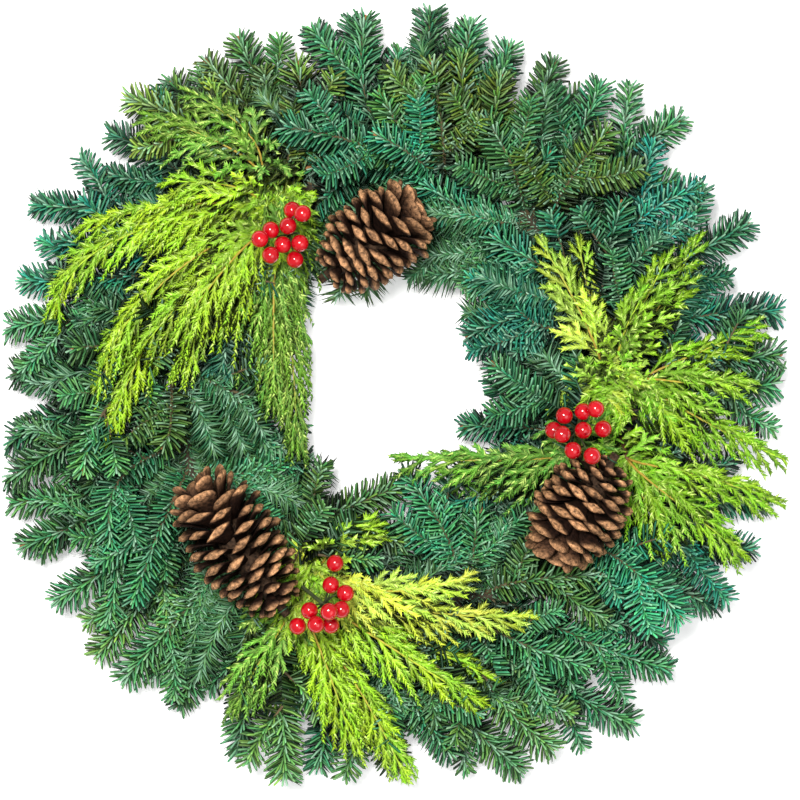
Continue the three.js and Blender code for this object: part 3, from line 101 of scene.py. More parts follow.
# Cedar branches and fronds
CEDAR_STEM_RADIUS = 1.7
CEDAR_STEM_MARGIN = 0.8
CEDAR_CLEARANCE = 1.6
CEDAR_TAIL = 14
CEDAR_LEAD = 8
CEDAR_REACH = 26
CEDAR_RISE = 26
CEDAR_FIRST_SLOT = 151.5
CEDAR_SLOT_STEP = 4.2
CEDAR_STEM_STEP = 5
TIED_HEIGHT = 8.2
FROND_HALF_WIDTH = 1
FROND_GAP = 2.5
FROND_LOW = 60
FROND_SPREAD = 10
FROND_LOWEST = 20
FROND_TIP_DROP = 8
FROND_RISE_STEP = 4
FROND_RISE_LIMIT = 40
FROND_LEAD = 12
FROND_TURN = 0.2

# Wires, cones and berry picks
WIRE_RADIUS = 0.6
EYE_CORNERS = 7
TIE_CORNER_CUT = 1.2
SEAT_GAP = 0.3
STALK_RADIUS = 3.4
STALK_LENGTH = 12
STALK_EYE_SHARE = 0.55
TAIL_BEND_SHARE = 0.35
TAIL_BEND_RISE = 22
CONE_CLEAR = (0.3, 0.76)
BERRY_RADIUS = 6.5
BERRY_HEIGHT = 84
BERRY_DOME = 12
BERRY_DOME_REACH = 30
BERRY_GAP = 1
BERRY_STEM_RADIUS = 0.9
PICK_STEM_RADIUS = 1.5
PICK_REACH = 8
PICK_RISE = 24

# The open middle and the outer reach of the foliage
HOLE = (-63, 45, -44, 65)
HOLE_MARGIN = 1.5
WIDEST_REACH = 299.5
LOWEST_NEEDLE = 0.8
TOP_MARGIN = 0.5

# Room that a twig or frond needs: its radius, distance from its own stem and gap to the rest, and how far
# and in which steps it may rise or sink
Room = namedtuple("Room", "radius clearance gap limit step")
TWIG_ROOM = Room(TWIG_ROOT_RADIUS, BRANCH_CLEARANCE, TWIG_GAP, TWIG_RISE_LIMIT, TWIG_RISE_STEP)
FROND_CLEARANCE = CEDAR_STEM_RADIUS + CEDAR_CLEARANCE
FROND_ROOM = Room(FROND_HALF_WIDTH, FROND_CLEARANCE, FROND_GAP, FROND_RISE_LIMIT, FROND_RISE_STEP)
# Least gain in gap for which a path goes further up or down
GAP_GAIN = 0.01

# First numbers of the owners of placed pieces, so that a branch can ignore its own
RING_OWNER = 0
TIE_OWNER = 100
CONE_OWNER = 200
CONE_WIRE_OWNER = 210
PICK_OWNER = 300
CEDAR_OWNER = 400
BUNCH_OWNER = 500

# Fir colours, as shares of red, green and blue light, and the slots of the bunches that have them
FIR_KINDS = {
    "teal": (vec(0.04, 0.215, 0.11), "fir_teal"),
    "green": (vec(0.066, 0.225, 0.08), "fir_deep"),
    "leaf": (vec(0.08, 0.26, 0.082), "fir_deep"),
    "olive": (vec(0.085, 0.2, 0.05), "fir_light"),
}
BUNCH_KINDS = ("teal", "green", "green", "olive", "teal", "green", *["leaf"] * 4, "teal", "green")
# Shares of its bunch's colour that a twig has
TWIG_KINDS = {
    "teal": vec(0.78, 1.0, 1.08),
    "light": vec(1.45, 1.3, 0.95),
    "deep": vec(0.9, 0.88, 0.8),
    "olive": vec(1.45, 1.0, 0.5),
}
TWIG_SHADES = (0.72, 1.3)
TWIG_WARMTH = vec(0.42, 0.05, -0.22)
BARK = vec(0.05, 0.035, 0.02)
TWIG_BARK = vec(0.1, 0.07, 0.03)
BUD_BROWN = vec(0.34, 0.15, 0.05)

# Rows of needles: bare length of twig before them, needles a millimetre, first and last turn round the twig
# in degrees, and the places of a needle's cross-sections along it, with their shares of its width
Row = namedtuple("Row", "bare density turns steps widths")
UPPER_SIDE = (-35, 215)
LOWER_SIDE = (168, 372)
TWIG_ROW = Row(13, 1.74, UPPER_SIDE, (0, 0.5, 0.93, 1), (0.72, 1, 0.82))
TWIG_LOWER_ROW = Row(13, 1.8, LOWER_SIDE, (0, 1), (1.35,))
SHOOT_ROW = Row(3, 1.74, UPPER_SIDE, (0, 0.86, 1), (0.9, 1))
UNDER_ROW = Row(4, 2.6, UPPER_SIDE, (0, 1), (1.35,))
BRANCH_ROW = Row(2, 2.6, UPPER_SIDE, (0, 1), (1.35,))

# Fir needles: lengths in each row, lean from the twig in degrees, and what changes on top and at the tip
TWIG_NEEDLES = (15, 18.5)
TWIG_LOWER_NEEDLES = 18
SHOOT_NEEDLES = (13, 16)
UNDER_NEEDLES = (18, 22)
BRANCH_NEEDLES = 17
FEWEST_NEEDLES = 8
NEEDLE_STEP = 0.01
NEEDLE_SHIFT = 0.4
NEEDLE_TURN = 10
NEEDLE_LEAN = 77
NEEDLE_LEAN_CHANGE = 6
TOP_LEAN = 16
TOP_SHORTER = 0.32
TUFT_REACH = 6
TUFT_LEAN = 30
TUFT_SHORTER = 0.36
FIRST_NEEDLES = 0.7
NEEDLE_GAIN = 0.3
NEEDLE_GAIN_REACH = 10
NEEDLE_LENGTHS = (0.88, 1.06)
NEEDLE_CURLS = (0.08, 0.26)
NEEDLE_CURL_RISE = 0.2
NEEDLE_WIDTH = 2.3
NEEDLE_WIDTHS = (0.88, 1.12)
NEEDLE_FLATNESS = 0.55
NEEDLE_ROLL = 0.5
NEEDLE_SHADES = (0.66, 1.3)
# Painted highlight: pale colour that a few needles, most of them on top, turn towards
NEEDLE_HIGHLIGHT = vec(0.36, 0.6, 0.42)
NEEDLE_WARMTH = vec(0.4, 0.06, -0.22)
# How much the painted highlights keep to the top, and how rare they are
HIGHLIGHT_TOPNESS = 0.4
HIGHLIGHT_RARITY = 2.6
# Painted light and shade: needles at the sides and below are darker, those on top lighter
LOW_NEEDLE_PAINTED_SHADE = 0.72
TOP_NEEDLE_PAINTED_LIGHT = 0.52
# Painted shade on the low shoots and the branch's own needles, which lie under the twigs
UNDER_PAINTED_SHADE = 0.55
UNDER_TINTS = (0.9, 1.1)
# Painted shade on the row of needles under each twig
LOWER_PAINTED_SHADE = 0.4
SHOOT_TINTS = (0.8, 1.2)

# Fir shoots: places along a twig, angles in degrees and lengths
SHOOT_PITCH = 42
SHOOT_FIRST = 0.2
SHOOT_SPAN = 0.52
SHOOT_SHIFT = 0.02
SHOOT_LEANS = (40, 58)
SHOOT_RISES = (-16, 20)
SHOOT_LENGTHS = (44, 64)
SHOOT_TAPER = 0.3
SHOOT_TURN = 0.15
SHOOT_PULLS = (0.35, 0.7)
SHOOT_TESTS = vec(0.5, 0.75, 1)
SHOOT_HOLE_MARGIN = 6
SHOOT_FRUIT_MARGIN = 4
SHOOT_SHORTEST = 12
SHOOT_TIP_RADIUS = 0.7
UNDER_SHOOTS = 18
UNDER_LEANS = (48, 82)
UNDER_RISES = (0.1, 0.42)
UNDER_LENGTHS = (62, 96)
SHORTER = 0.72
TRIES = 4
BUD_HEADING_STEP = 0.03
BUD_STEPS = vec(-2.5, 0, 2, 3.6, 4.2)
BUD_RADII = (1.2, 1.9, 1.7, 0.8)
BARK_PITCH = 8
BARK_LEAST = 5
BARK_CUT_LEAST = 3
BRANCH_WEAR = 0.05
BRANCH_WEAR_TURN = 2.1

# Height maps over the wreath: what lies below the tops gets painted shade, and no fir shows above the cedar
TOP_MAP_HALF = 304
TOP_MAP_CELL = 8
TOP_MAP_SIZE = 76
TOP_MAP_LEAST = 4
COVER_HEIGHT = 23
COVER_LEEWAY = 2
STEM_CLEARANCE = 18
STEM_COVER_FROM = 0.45
STEM_COVER_RISE = 4
STEM_COVER_POINTS = 8
TWIG_SHADE_REACH = 7
TWIG_SHADE_POINTS = 30
# Height over the cedar's tops from which the fir beneath gets painted shade
CEDAR_PAINTED_SHADE_HEIGHT = 5
# Depths below the tops, and the shares of the colour kept there as painted shade
FIR_PAINTED_SHADES = ((-4, 4, 12, 30), (1.42, 1.02, 0.42, 0.08))
CEDAR_PAINTED_SHADES = ((0, 4, 12), (1.25, 0.85, 0.12))

# Cedar colours
CEDAR_TINTS = {
    "bright": vec(0.36, 0.62, 0.022),
    "dark": vec(0.17, 0.38, 0.035),
    "yellow": vec(0.6, 0.74, 0.06),
}
GROUP_TINTS = {
    "left": vec(0.97, 0.98, 1.0),
    "right": vec(0.78, 0.93, 0.95),
    "bottom": vec(1.05, 1.08, 1.2),
}
GROUP_DROOPS = {"left": 1.7, "right": 1.0, "bottom": 0.9}
FROND_TINTS = (0.92, 1.08)
HUB_SHADE = 0.85
BACK_SHADE = 0.9
# Painted highlight: pale colour that a few cedar leaves turn towards
CEDAR_HIGHLIGHT = vec(0.68, 0.9, 0.22)
CEDAR_STEM = vec(0.55, 0.36, 0.06)
CEDAR_WOOD = vec(0.16, 0.07, 0.03)

# Strands of a frond: bare start, longest one, distance between those of one side, widest angle from the
# frond's stem in degrees, and lift
Strands = namedtuple("Strands", "bare longest pitch widest lift")
TIP_STRANDS = Strands(4, 50, 12, 27, 0)
HUB_STRANDS = Strands(2, 62, 4, 80, 0.3)
BACK_STRANDS = Strands(2, 36, 7, 75, 0.1)
HUB_RISE = 36
HUB_PULLS = (0.3, 0.7)
BACK_ARCH = 12
STRAND_POINTS = 5
STRAND_OFFSET = 0.4
STRAND_TAPER = 0.66
STRAND_TAPER_POWER = 1.5
STRAND_LENGTHS = (0.72, 1.15)
STRAND_NARROWEST = 17
STRAND_LIFTS = (-0.15, 0.35)
STRAND_BEND = 0.1
STRAND_SINKS = (0.02, 0.16)
STRAND_HANGS = (0.08, 0.42)
STRAND_CLOSING = (-0.12, 0.04)
STRAND_TINTS = (0.6, 1.15)
STRAND_REDS = (0.8, 1.15)
STRAND_BLUES = (0.8, 1.6)
STRAND_FRUIT_MARGIN = 0.6
STRAND_WIDTHS = (1.2, 0.8)
STRAND_HEIGHTS = (0.9, 0.6)
FORK_PITCH = 10
FORK_FIRST = 0.15
FORK_SPAN = 0.6
FORK_ANGLES = (22, 34)
FORK_LENGTHS = (0.4, 0.62)
FORK_TINTS = (0.9, 1.15)
END_STRAND = 16
END_STRAND_FROM = 0.985
END_HEADING_STEP = 0.04
END_BEND = vec(0, -0.12, -0.1)
STRAND_YELLOWING = (0, 0.5)
RACHIS_POINTS = 22
RACHIS_SIDES = 5
RACHIS_RADIUS = 1.15
RACHIS_TAPER = 0.6

# Cedar leaves: small scales close to a strand at both sides
LEAF_PITCH = 2.4
LEAF_PITCHES = (0.92, 1.08)
LEAF_LAST = 0.985
LEAF_TILT = 0.4
LEAF_ANGLES = (20, 38)
LEAF_LIFTS = (-0.2, 0.3)
LEAF_LENGTHS = (4.4, 7.2)
LEAF_TAPER = 0.3
LEAF_WIDTH = 2.6
LEAF_SHADES = (0.7, 1.25)
LEAF_FOOT_SHADE = 0.82
LEAF_TIP_GAIN = 0.36
# How rare the leaves with painted highlights are
LEAF_HIGHLIGHT_RARITY = 6
LEAF_FRUIT_MARGIN = 0.4

# Cones: pairs of shares of a cone's length and what its scales are there
CONE_PROFILE = (
    (-0.05, 0, 0.1, 0.25, 0.45, 0.62, 0.8, 0.93, 1.02),
    (0.2, 0.45, 0.72, 0.9, 1.0, 1.0, 0.88, 0.68, 0.4),
)
SCALE_OPENING = ((0, 0.1, 0.2, 0.5, 0.8, 1), (128, 105, 88, 68, 50, 22))
SCALE_HALF_WIDTH = ((0, 0.1, 0.35, 0.8, 1), (5.2, 8.2, 11.4, 11.4, 9.0))
SCALE_THICKNESS = ((0, 0.15, 0.4, 0.75, 1), (2.0, 3.2, 3.7, 3.0, 1.8))
SCALE_PULL = ((0, 0.2, 1), (0, 0.35, 0.45))
CORE_RADIUS = ((0, 0.5, 1), (7, 9, 3))
CONE_SCALES = 96
SCALE_OFFSET = 0.6
SCALE_CROWDING = 1.15
SCALE_SPAN = 0.88
SCALE_START = 3
SCALE_SHORTEST = 10
SCALE_LENGTHS = (0.88, 1.06)
SCALE_WIDTH_CHANGE = (0.8, 1.12)
SCALE_TWIST = 0.22
SCALE_WAVER = 0.08
SCALE_SIDES = 10
# Cross-sections of a scale from foot to end: places, fall of its outer end, widths and heights
SCALE_STEPS = vec(0, 0.3, 0.55, 0.72, 0.82, 0.9, 0.955, 0.99, 1)
SCALE_FALL = vec(0, 0, -0.1, -0.35, -0.8, -1.5, -2.3, -3.1, -3.7)
SCALE_FALL_THICKNESS = 2.8
SCALE_WIDTHS = vec(0.36, 0.56, 0.78, 0.95, 1, 0.92, 0.68, 0.22)
SCALE_HEIGHTS = vec(0.3, 0.32, 0.42, 0.66, 0.95, 1, 0.7, 0.2)
# Open scales and the later ones near the tip: form of their cross-section, share of the fall, and paleness
LATE_FROM = 0.8
SCALE_KINDS = (
    (1.6, 1, vec(0, 0, 0, 0, 0.07, 0.4, 1.3, 1)),
    (1.0, 0.4, vec(0, 0, 0.04, 0.12, 0.3, 0.6, 1.1, 1)),
)
SCALE_BROWN = vec(0.36, 0.185, 0.088)
SCALE_BROWNS = (0.75, 1.25)
SCALE_DARK = vec(0.04, 0.017, 0.01)
SCALE_DARKS = (0.8, 1.3)
# Painted shade on the inner part of each scale, deep in the cone, and how fast it gives way as the scale
# turns pale
SCALE_PAINTED_SHADE = 0.45
SCALE_PAINTED_SHADE_GAIN = 4
# Stalk and core of a cone: ends of the stalk, shares of the core, and their radii
STALK_END = 4
CORE_SHARES = (0.2, 0.5, 0.72, 0.8)
CORE_RADII = (STALK_RADIUS, 3.6, 6, 11, 13, 9)
CORE_SIDES = 16
STALK_BROWN = vec(0.05, 0.028, 0.016)
# Shares of a cone's length, and of its own reach, within which nothing else may lie
CONE_ENDS = (-0.12, 1.1)
CONE_SKIN = 0.97
CONE_LEAST_REACH = 3
OFF_CONE = 9

# Berries
BERRY_RED = vec(0.46, 0.001, 0.007)
BERRY_REDS = (0.92, 1.06)
BERRY_SPOT = (0.2, 0.002, 0.003)
BERRY_MARGIN = 1.2
BERRY_RINGS = 15
BERRY_SIDES = 22
BERRY_CAPS = (0.12, 0.1)
BERRY_TIP = 0.5
BERRY_FLATTEN = (1, 1, 0.2)
BERRY_SWAY = 0.3
BERRY_STEM_RISE = 6
BERRY_STEM_START = 2
BERRY_STEM_PULL = 11
BERRY_STEM_END = 5.5
BERRY_STEM_POINTS = 6
BERRY_STEM_TAPER = vec(1, 0.95, 0.9, 0.85, 0.8)
STEM_GREEN = vec(0.045, 0.06, 0.016)

# Ring and wires
PAINT_GREEN = vec(0.012, 0.06, 0.03)
WIRE_GREEN = vec(0.03, 0.09, 0.045)
RAIL_POINTS = 161
EYE_POINTS = 33
CLAMP_CUT = 3
CLAMP_POINTS = 26
CLAMP_BOXINESS = 0.4
TIE_CUT = 1.4
TIE_POINTS = 90
TAIL_CUT = 10
TAIL_POINTS = 24
TAIL_TILT = 0.2

# Corners rounded off branches and stems, points along them, and length of their last piece
CORNER_POINTS = 5
BRANCH_CUT = 14
BRANCH_POINTS = 16
BRANCH_END = 1.5
STEM_CUT = 8
STEM_POINTS = 14
STEM_END = 1
PICK_POINTS = 18
PICK_END = 0.5
CLOSING = 0.01

# Sides of round cross-sections, and the cross-section of a flat blade with a ridge
BRANCH_SIDES = 10
RAIL_SIDES = 10
STEM_SIDES = 8
CLAMP_SIDES = 8
WIRE_SIDES = 8
TWIG_SIDES = 6
BLADE = {"sides": 3, "turn": math.pi / 2}
# Place of bark among a piece's materials
BARK_SLOT = 1

# Photograph: pixels across, millimetres a pixel, middle, and the height that is in scale
PHOTO_SIZE = 800
PHOTO_SCALE = 0.76
PHOTO_MIDDLE = (3.8, -5.3)
PHOTO_HEIGHT = 45

# Stage, lights and camera, in metres and watts: name, place, width, power and colour of each light
FLOOR_HALF = 12
FLOOR_WHITE = (0.97, 0.97, 0.97)
FLOOR_GLOW = 0.3
WORLD_STRENGTH = 0.45
LIGHT_TARGET = (0, 0, 0.03)
LIGHTS = (
    ("key", (-0.35, 0.45, 2.7), 0.7, 90, (1, 0.99, 0.97)),
    ("fill", (1.2, -0.8, 2.4), 2.0, 22, (0.98, 0.99, 1)),
)
LENS = 0.2
SENSOR_WIDTH = 0.036
CAMERA_FAR = 50

# Places of a material's noise between which its effect changes
NOISE_RANGE = (0.3, 0.7)
# Fineness of a leaf's relief beside that of its mottling
RELIEF_FINENESS = 2.2
# Numbers of the colour sockets of a node that mixes two colours
MIX_ONE, MIX_OTHER, MIX_RESULT = 6, 7, 2

# Twigs: tip x and y, root x and y, and kind
OUTER_TWIGS = [
    (27, 296, 25, 207, "deep"), (-23, 285, -34, 215, "deep"), (-61, 276, -27, 211, "teal"),
    (57, 280, 53, 232, "deep"), (87, 264, 68, 210, "teal"), (122, 252, 103, 207, "deep"),
    (156, 234, 140, 190, "teal"), (217, 209, 156, 169, "teal"), (232, 156, 175, 139, "teal"),
    (268, 128, 215, 100, "deep"), (298, 63, 240, 63, "teal"), (292, 29, 240, 25, "deep"),
    (299, 10, 250, -2, "teal"), (283, -85, 224, -78, "teal"), (271, -119, 217, -116, "teal"),
    (245, -161, 205, -150, "deep"), (207, -209, 156, -200, "deep"), (203, -190, 163, -172, "teal"),
    (180, -252, 110, -226, "teal"), (119, -270, 65, -233, "deep"), (95, -287, 46, -249, "deep"),
    (43, -275, 11, -238, "teal"), (2, -287, -19, -245, "deep"), (-59, -285, -46, -238, "teal"),
    (-84, -298, -84, -226, "deep"), (-119, -273, -112, -215, "deep"), (-165, -238, -140, -190, "deep"),
    (-205, -217, -170, -175, "deep"), (-226, -199, -190, -160, "deep"),
    (-256, -157, -208, -130, "deep"), (-283, -116, -235, -100, "deep"), (-296, -83, -232, -84, "teal"),
    (-296, -66, -250, -40, "deep"), (-296, -38, -260, -18, "deep"), (-297, 14, -228, 25, "teal"),
    (-300, 48, -243, 66, "deep"), (-283, 86, -235, 84, "teal"), (-251, 116, -215, 105, "deep"),
    (-274, 143, -217, 143, "teal"), (-220, 166, -180, 154, "deep"), (-215, 196, -168, 185, "deep"),
    (-201, 223, -150, 210, "light"), (-171, 238, -146, 205, "deep"), (-144, 253, -110, 218, "deep"),
    (-119, 270, -95, 213, "light"), (-74, 250, -70, 205, "light"),
]
MIDDLE_TWIGS = [
    (28, 249, 42, 177, "olive"), (50, 255, 55, 180, "olive"), (80, 239, 68, 185, "olive"),
    (70, 206, 95, 165, "teal"), (118, 182, 108, 172, "teal"), (160, 198, 133, 165, "olive"),
    (171, 143, 158, 97, "teal"), (205, 90, 175, 62, "deep"), (-15, 196, 22, 178, "teal"),
    (-87, 201, -34, 196, "teal"), (-65, 172, -15, 180, "teal"), (-11, 226, 8, 195, "olive"),
    (215, -169, 175, -122, "light"), (156, -138, 72, -142, "deep"), (144, -207, 70, -185, "teal"),
    (60, -235, 25, -200, "deep"), (-215, -112, -226, -51, "teal"), (-236, -59, -230, 0, "light"),
    (-176, -40, -166, -30, "olive"), (-198, -157, -170, -75, "deep"), (-243, 33, -236, 38, "deep"),
    (-190, 65, -165, 50, "deep"), (-130, 215, -95, 185, "light"),
]
INNER_TWIGS = [
    (15, 166, 72, 118, "teal"), (40, 112, 82, 118, "teal"), (76, 118, 116, 92, "teal"),
    (58, 78, 92, 100, "teal"), (88, 78, 98, 38, "teal"), (57, 44, 92, 60, "teal"),
    (74, 22, 103, -4, "deep"), (53, -26, 100, -22, "teal"), (50, -58, 100, -62, "deep"),
    (8, -62, 44, -105, "teal"), (65, -89, 57, -122, "teal"), (102, -104, 62, -132, "teal"),
    (2, -72, -70, -98, "deep"), (-30, -96, -60, -130, "deep"), (-68, -51, -118, -62, "teal"),
    (-72, -8, -118, -5, "deep"), (-80, 40, -125, 42, "deep"), (-96, 84, -130, 70, "deep"),
]

# Each row of twigs with the low end and the spread of its tips' heights, and its arch
TWIG_ROWS = ((OUTER_TWIGS, 16, 26, 10), (INNER_TWIGS, 26, 20, 8), (MIDDLE_TWIGS, 50, 16, 4))

# Cedar branches of each tie: tint, slot, way round the ring, and fronds by tip x, y and bend x, y
CEDAR_GROUPS = (
    ("left", 114, (
        ("dark", 5, 1, ((-182, 210, -95, 178), (-150, 226, -88, 190))),
        ("bright", 4, 1, ((-232, 128, -170, 148), (-256, 70, -240, 126), (-165, 160, -115, 162))),
        ("bright", 3, 1, ((-215, -28, -192, 62), (-224, 14, -196, 88), (-188, 38, -150, 84))),
        ("bright", 2, 1, ((-163, 21, -128, 80), (-160, 50, -126, 102))),
        ("dark", 1, 1, ((-92, -5, -92, 66), (-74, -36, -78, 60), (-114, 24, -106, 76))),
    )),
    ("right", 354, (
        ("yellow", 2, 1, ((114, 109, 140, 66), (141, 109, 150, 66))),
        ("bright", 3, 1, ((205, 100, 178, 50), (228, 112, 194, 52), (186, 71, 166, 38))),
        ("bright", 4, 1, ((262, 8, 220, 4), (270, 48, 216, 24), (297, -51, 226, -22))),
        ("bright", 5, -1, ((256, -116, 206, -76), (283, -80, 218, -54), (205, -104, 184, -78))),
        ("dark", 1, -1, ((13, -50, 70, -52), (52, -66, 90, -58))),
    )),
    ("bottom", 234, (
        ("dark", 5, 1, ((-118, -233, -98, -190), (-90, -228, -84, -186))),
        ("bright", 4, 1, ((-34, -260, -50, -208), (11, -299, -18, -230))),
        ("bright", 3, 1, ((58, -231, 8, -200), (68, -214, 14, -188))),
        ("yellow", 1, 1, ((95, -169, 20, -172), (49, -142, -5, -156))),
        ("bright", 0, 1, ((-19, -102, -60, -118),)),
    )),
)

# Cones: base, tip, largest radius, rail and bearing of the wire's hook
Cone = namedtuple("Cone", "base tip radius rail bearing")
CONES = (
    Cone((-47, 92, 74), (17, 140, 82), 35, 0, 102),
    Cone((-88, -158, 72), (-152, -66, 80), 36, 1, 246),
    Cone((160, -56, 80), (120, -120, 70), 36, 1, 342),
)

# Berry picks: group, slot in the tie, hub, and the place of each berry
PICKS = (
    (0, 0, (-80, 120, 60), (
        (-77, 137), (-69, 134), (-80, 125), (-93, 122), (-101, 115), (-84, 111), (-71, 112), (-93, 103),
        (-75, 100))),
    (2, 2, (-54, -160, 60), (
        (-45, -128), (-48, -144), (-37, -150), (-40, -162), (-49, -163), (-64, -163), (-73, -175),
        (-59, -173), (-48, -174))),
    (1, 0, (138, -28, 60), (
        (119, -28), (141, -14), (150, -12), (127, -17), (125, -31), (141, -28), (156, -27), (133, -43),
        (147, -47))),
)


# Paths, worked out by the same rules as in the part's own source
def unit(vectors):
    return vectors / np.maximum(np.linalg.norm(vectors, axis=-1, keepdims=True), 1e-9)


# Directions turned by an angle from one towards another
def turned(one, other, angle):
    angle = np.asarray(angle)[..., None]
    return one * np.cos(angle) + other * np.sin(angle)


def on_circle(radius, bearing, height):
    angle = math.radians(bearing)
    return vec(radius * math.cos(angle), radius * math.sin(angle), height)


def along_ring(bearing):
    return on_circle(1, bearing + 90, 0)


def bearing_of(x, y):
    return math.degrees(math.atan2(y, x))


# Evenly scattered share between 0 and 1 for a running number
def scatter(index):
    return (index * GOLDEN_SHARE) % 1


# Values at shares of a path, whose own values are evenly spaced
def share_of(points, shares):
    steps = np.linspace(0, 1, len(points))
    return np.stack([np.interp(shares, steps, points[:, axis]) for axis in range(3)], axis=1)


class Curve:
    """Smooth curve through two ends with two pulls, measured by its length."""

    def __init__(self, start, first, second, end):
        self.pulls = (start, first, second, end)
        self.steps = np.linspace(0, 1, CURVE_STEPS)
        points = self.raw(self.steps)
        pieces = np.linalg.norm(np.diff(points, axis=0), axis=1)
        self.reached = np.concatenate([[0], np.cumsum(pieces)])
        self.length = self.reached[-1]

    def raw(self, step):
        t = np.asarray(step, dtype=float)[..., None]
        a, b, c, d = self.pulls
        return (1 - t) ** 3 * a + 3 * (1 - t) ** 2 * t * b + 3 * (1 - t) * t ** 2 * c + t ** 3 * d

    def at(self, share):
        return self.raw(np.interp(np.asarray(share) * self.length, self.reached, self.steps))

    def heading(self, share, step=0.02):
        return unit(self.at(np.minimum(share + step, 1)) - self.at(np.maximum(share - step, 0)))


# Distance from one straight piece to many
def piece_distance(a, b, starts, ends):
    u, v, w = b - a, ends - starts, a - starts
    uu, vv = u @ u, (v * v).sum(1)
    uv, uw, vw = v @ u, w @ u, (v * w).sum(1)
    area = uu * vv - uv * uv
    crossing = area > 1e-9
    s = np.where(crossing, np.clip((uv * vw - vv * uw) / np.where(crossing, area, 1), 0, 1), 0)
    long = vv > 1e-9
    t = np.where(long, (uv * s + vw) / np.where(long, vv, 1), 0)
    beyond = (t < 0) | (t > 1)
    t = np.clip(t, 0, 1)
    if uu > 1e-9:
        s = np.where(beyond, np.clip((uv * t - uw) / uu, 0, 1), s)
    else:
        s = np.where(beyond, 0, s)
    return np.linalg.norm(w + s[:, None] * u - t[:, None] * v, axis=1)


class Placed:
    """Straight rounded pieces that later ones keep clear of."""

    def __init__(self):
        self.rows = []
        self.table = None

    def add(self, a, b, radius, owner, part=0):
        self.rows.append((*a, *b, radius, owner, part))
        self.table = None

    def path(self, points, radius, owner, part=0):
        for a, b in zip(points[:-1], points[1:]):
            self.add(a, b, radius, owner, part)

    # Smallest gap to the pieces that are near, with those that skip() marks left out
    def gap(self, a, b, radius, enough, skip):
        if self.table is None:
            self.table = np.array(self.rows)
        rows = self.table
        low = np.minimum(rows[:, 0:3], rows[:, 3:6])
        high = np.maximum(rows[:, 0:3], rows[:, 3:6])
        reach = (radius + rows[:, 6] + enough)[:, None]
        near = ((low <= np.maximum(a, b) + reach) & (high >= np.minimum(a, b) - reach)).all(1)
        rows = rows[near & ~skip(rows[:, 7], rows[:, 8])]
        if not len(rows):
            return math.inf
        return (piece_distance(a, b, rows[:, 0:3], rows[:, 3:6]) - radius - rows[:, 6]).min()


placed = Placed()


def nothing(owners, parts):
    return np.zeros(len(owners), dtype=bool)


def clamp_bearing(index):
    return CLAMP_FIRST_BEARING + index * CLAMP_STEP


def place_ring():
    for bearing in range(0, 360, RAIL_CLEAR_STEP):
        for radius in RAIL_RADII:
            ends = [on_circle(radius, bearing + turn, RAIL_HEIGHT) for turn in (0, RAIL_CLEAR_STEP)]
            placed.add(*ends, RAIL_WIRE_RADIUS, RING_OWNER)
    radii = [RING_RADIUS - CLAMP_HALF_SPAN, RING_RADIUS + CLAMP_HALF_SPAN]
    for index in range(CLAMP_COUNT):
        for turn in CLAMP_CLEAR_TURNS:
            ends = [on_circle(radius, clamp_bearing(index) + turn, CLAMP_CLEAR_HEIGHT) for radius in radii]
            placed.add(*ends, CLAMP_CLEAR_RADIUS, RING_OWNER, 1)


def tie_corners(bearing):
    inside = RAIL_RADII[0] - RAIL_WIRE_RADIUS - SEAT_GAP - WIRE_RADIUS
    outside = RAIL_RADII[1] + RAIL_WIRE_RADIUS + SEAT_GAP + WIRE_RADIUS
    under = RAIL_HEIGHT - RAIL_WIRE_RADIUS - SEAT_GAP - WIRE_RADIUS
    over = TIED_HEIGHT + CEDAR_STEM_RADIUS + SEAT_GAP + WIRE_RADIUS
    cut = TIE_CORNER_CUT
    profile = ((inside, under + cut), (inside + cut, under), (outside - cut, under), (outside, under + cut),
               (outside, over - cut), (outside - cut, over), (inside + cut, over), (inside, over - cut))
    return [on_circle(radius, bearing, height) for radius, height in profile]


def place_ties():
    for number, (_, bearing, _) in enumerate(CEDAR_GROUPS):
        corners = tie_corners(bearing)
        placed.path([*corners, corners[0]], WIRE_RADIUS, TIE_OWNER + number)


ConeFrame = namedtuple("ConeFrame", "base tip axis length left up")


def cone_frame(cone):
    base, tip = vec(*cone.base), vec(*cone.tip)
    length = np.linalg.norm(tip - base)
    axis = (tip - base) / length
    left = unit(np.cross(UP, axis))
    return ConeFrame(base, tip, axis, length, left, np.cross(axis, left))


def eye_radius(inside):
    return (inside + SEAT_GAP + WIRE_RADIUS) / math.cos(math.pi / EYE_CORNERS)


# Places along a cone's wire: both eyes' centres and the tail between them
def cone_wire(cone):
    body = cone_frame(cone)
    stalk_eye = body.base - body.axis * STALK_LENGTH * STALK_EYE_SHARE
    rail_eye = on_circle(RAIL_RADII[cone.rail], cone.bearing, RAIL_HEIGHT)
    down = unit(-UP + body.axis * body.axis[2])
    tail_top = stalk_eye + down * eye_radius(STALK_RADIUS)
    tail_foot = rail_eye + UP * eye_radius(RAIL_WIRE_RADIUS)
    bend = tail_foot + (tail_top - tail_foot) * TAIL_BEND_SHARE
    bend[2] = tail_foot[2] + TAIL_BEND_RISE
    return stalk_eye, rail_eye, [tail_top, bend, tail_foot]


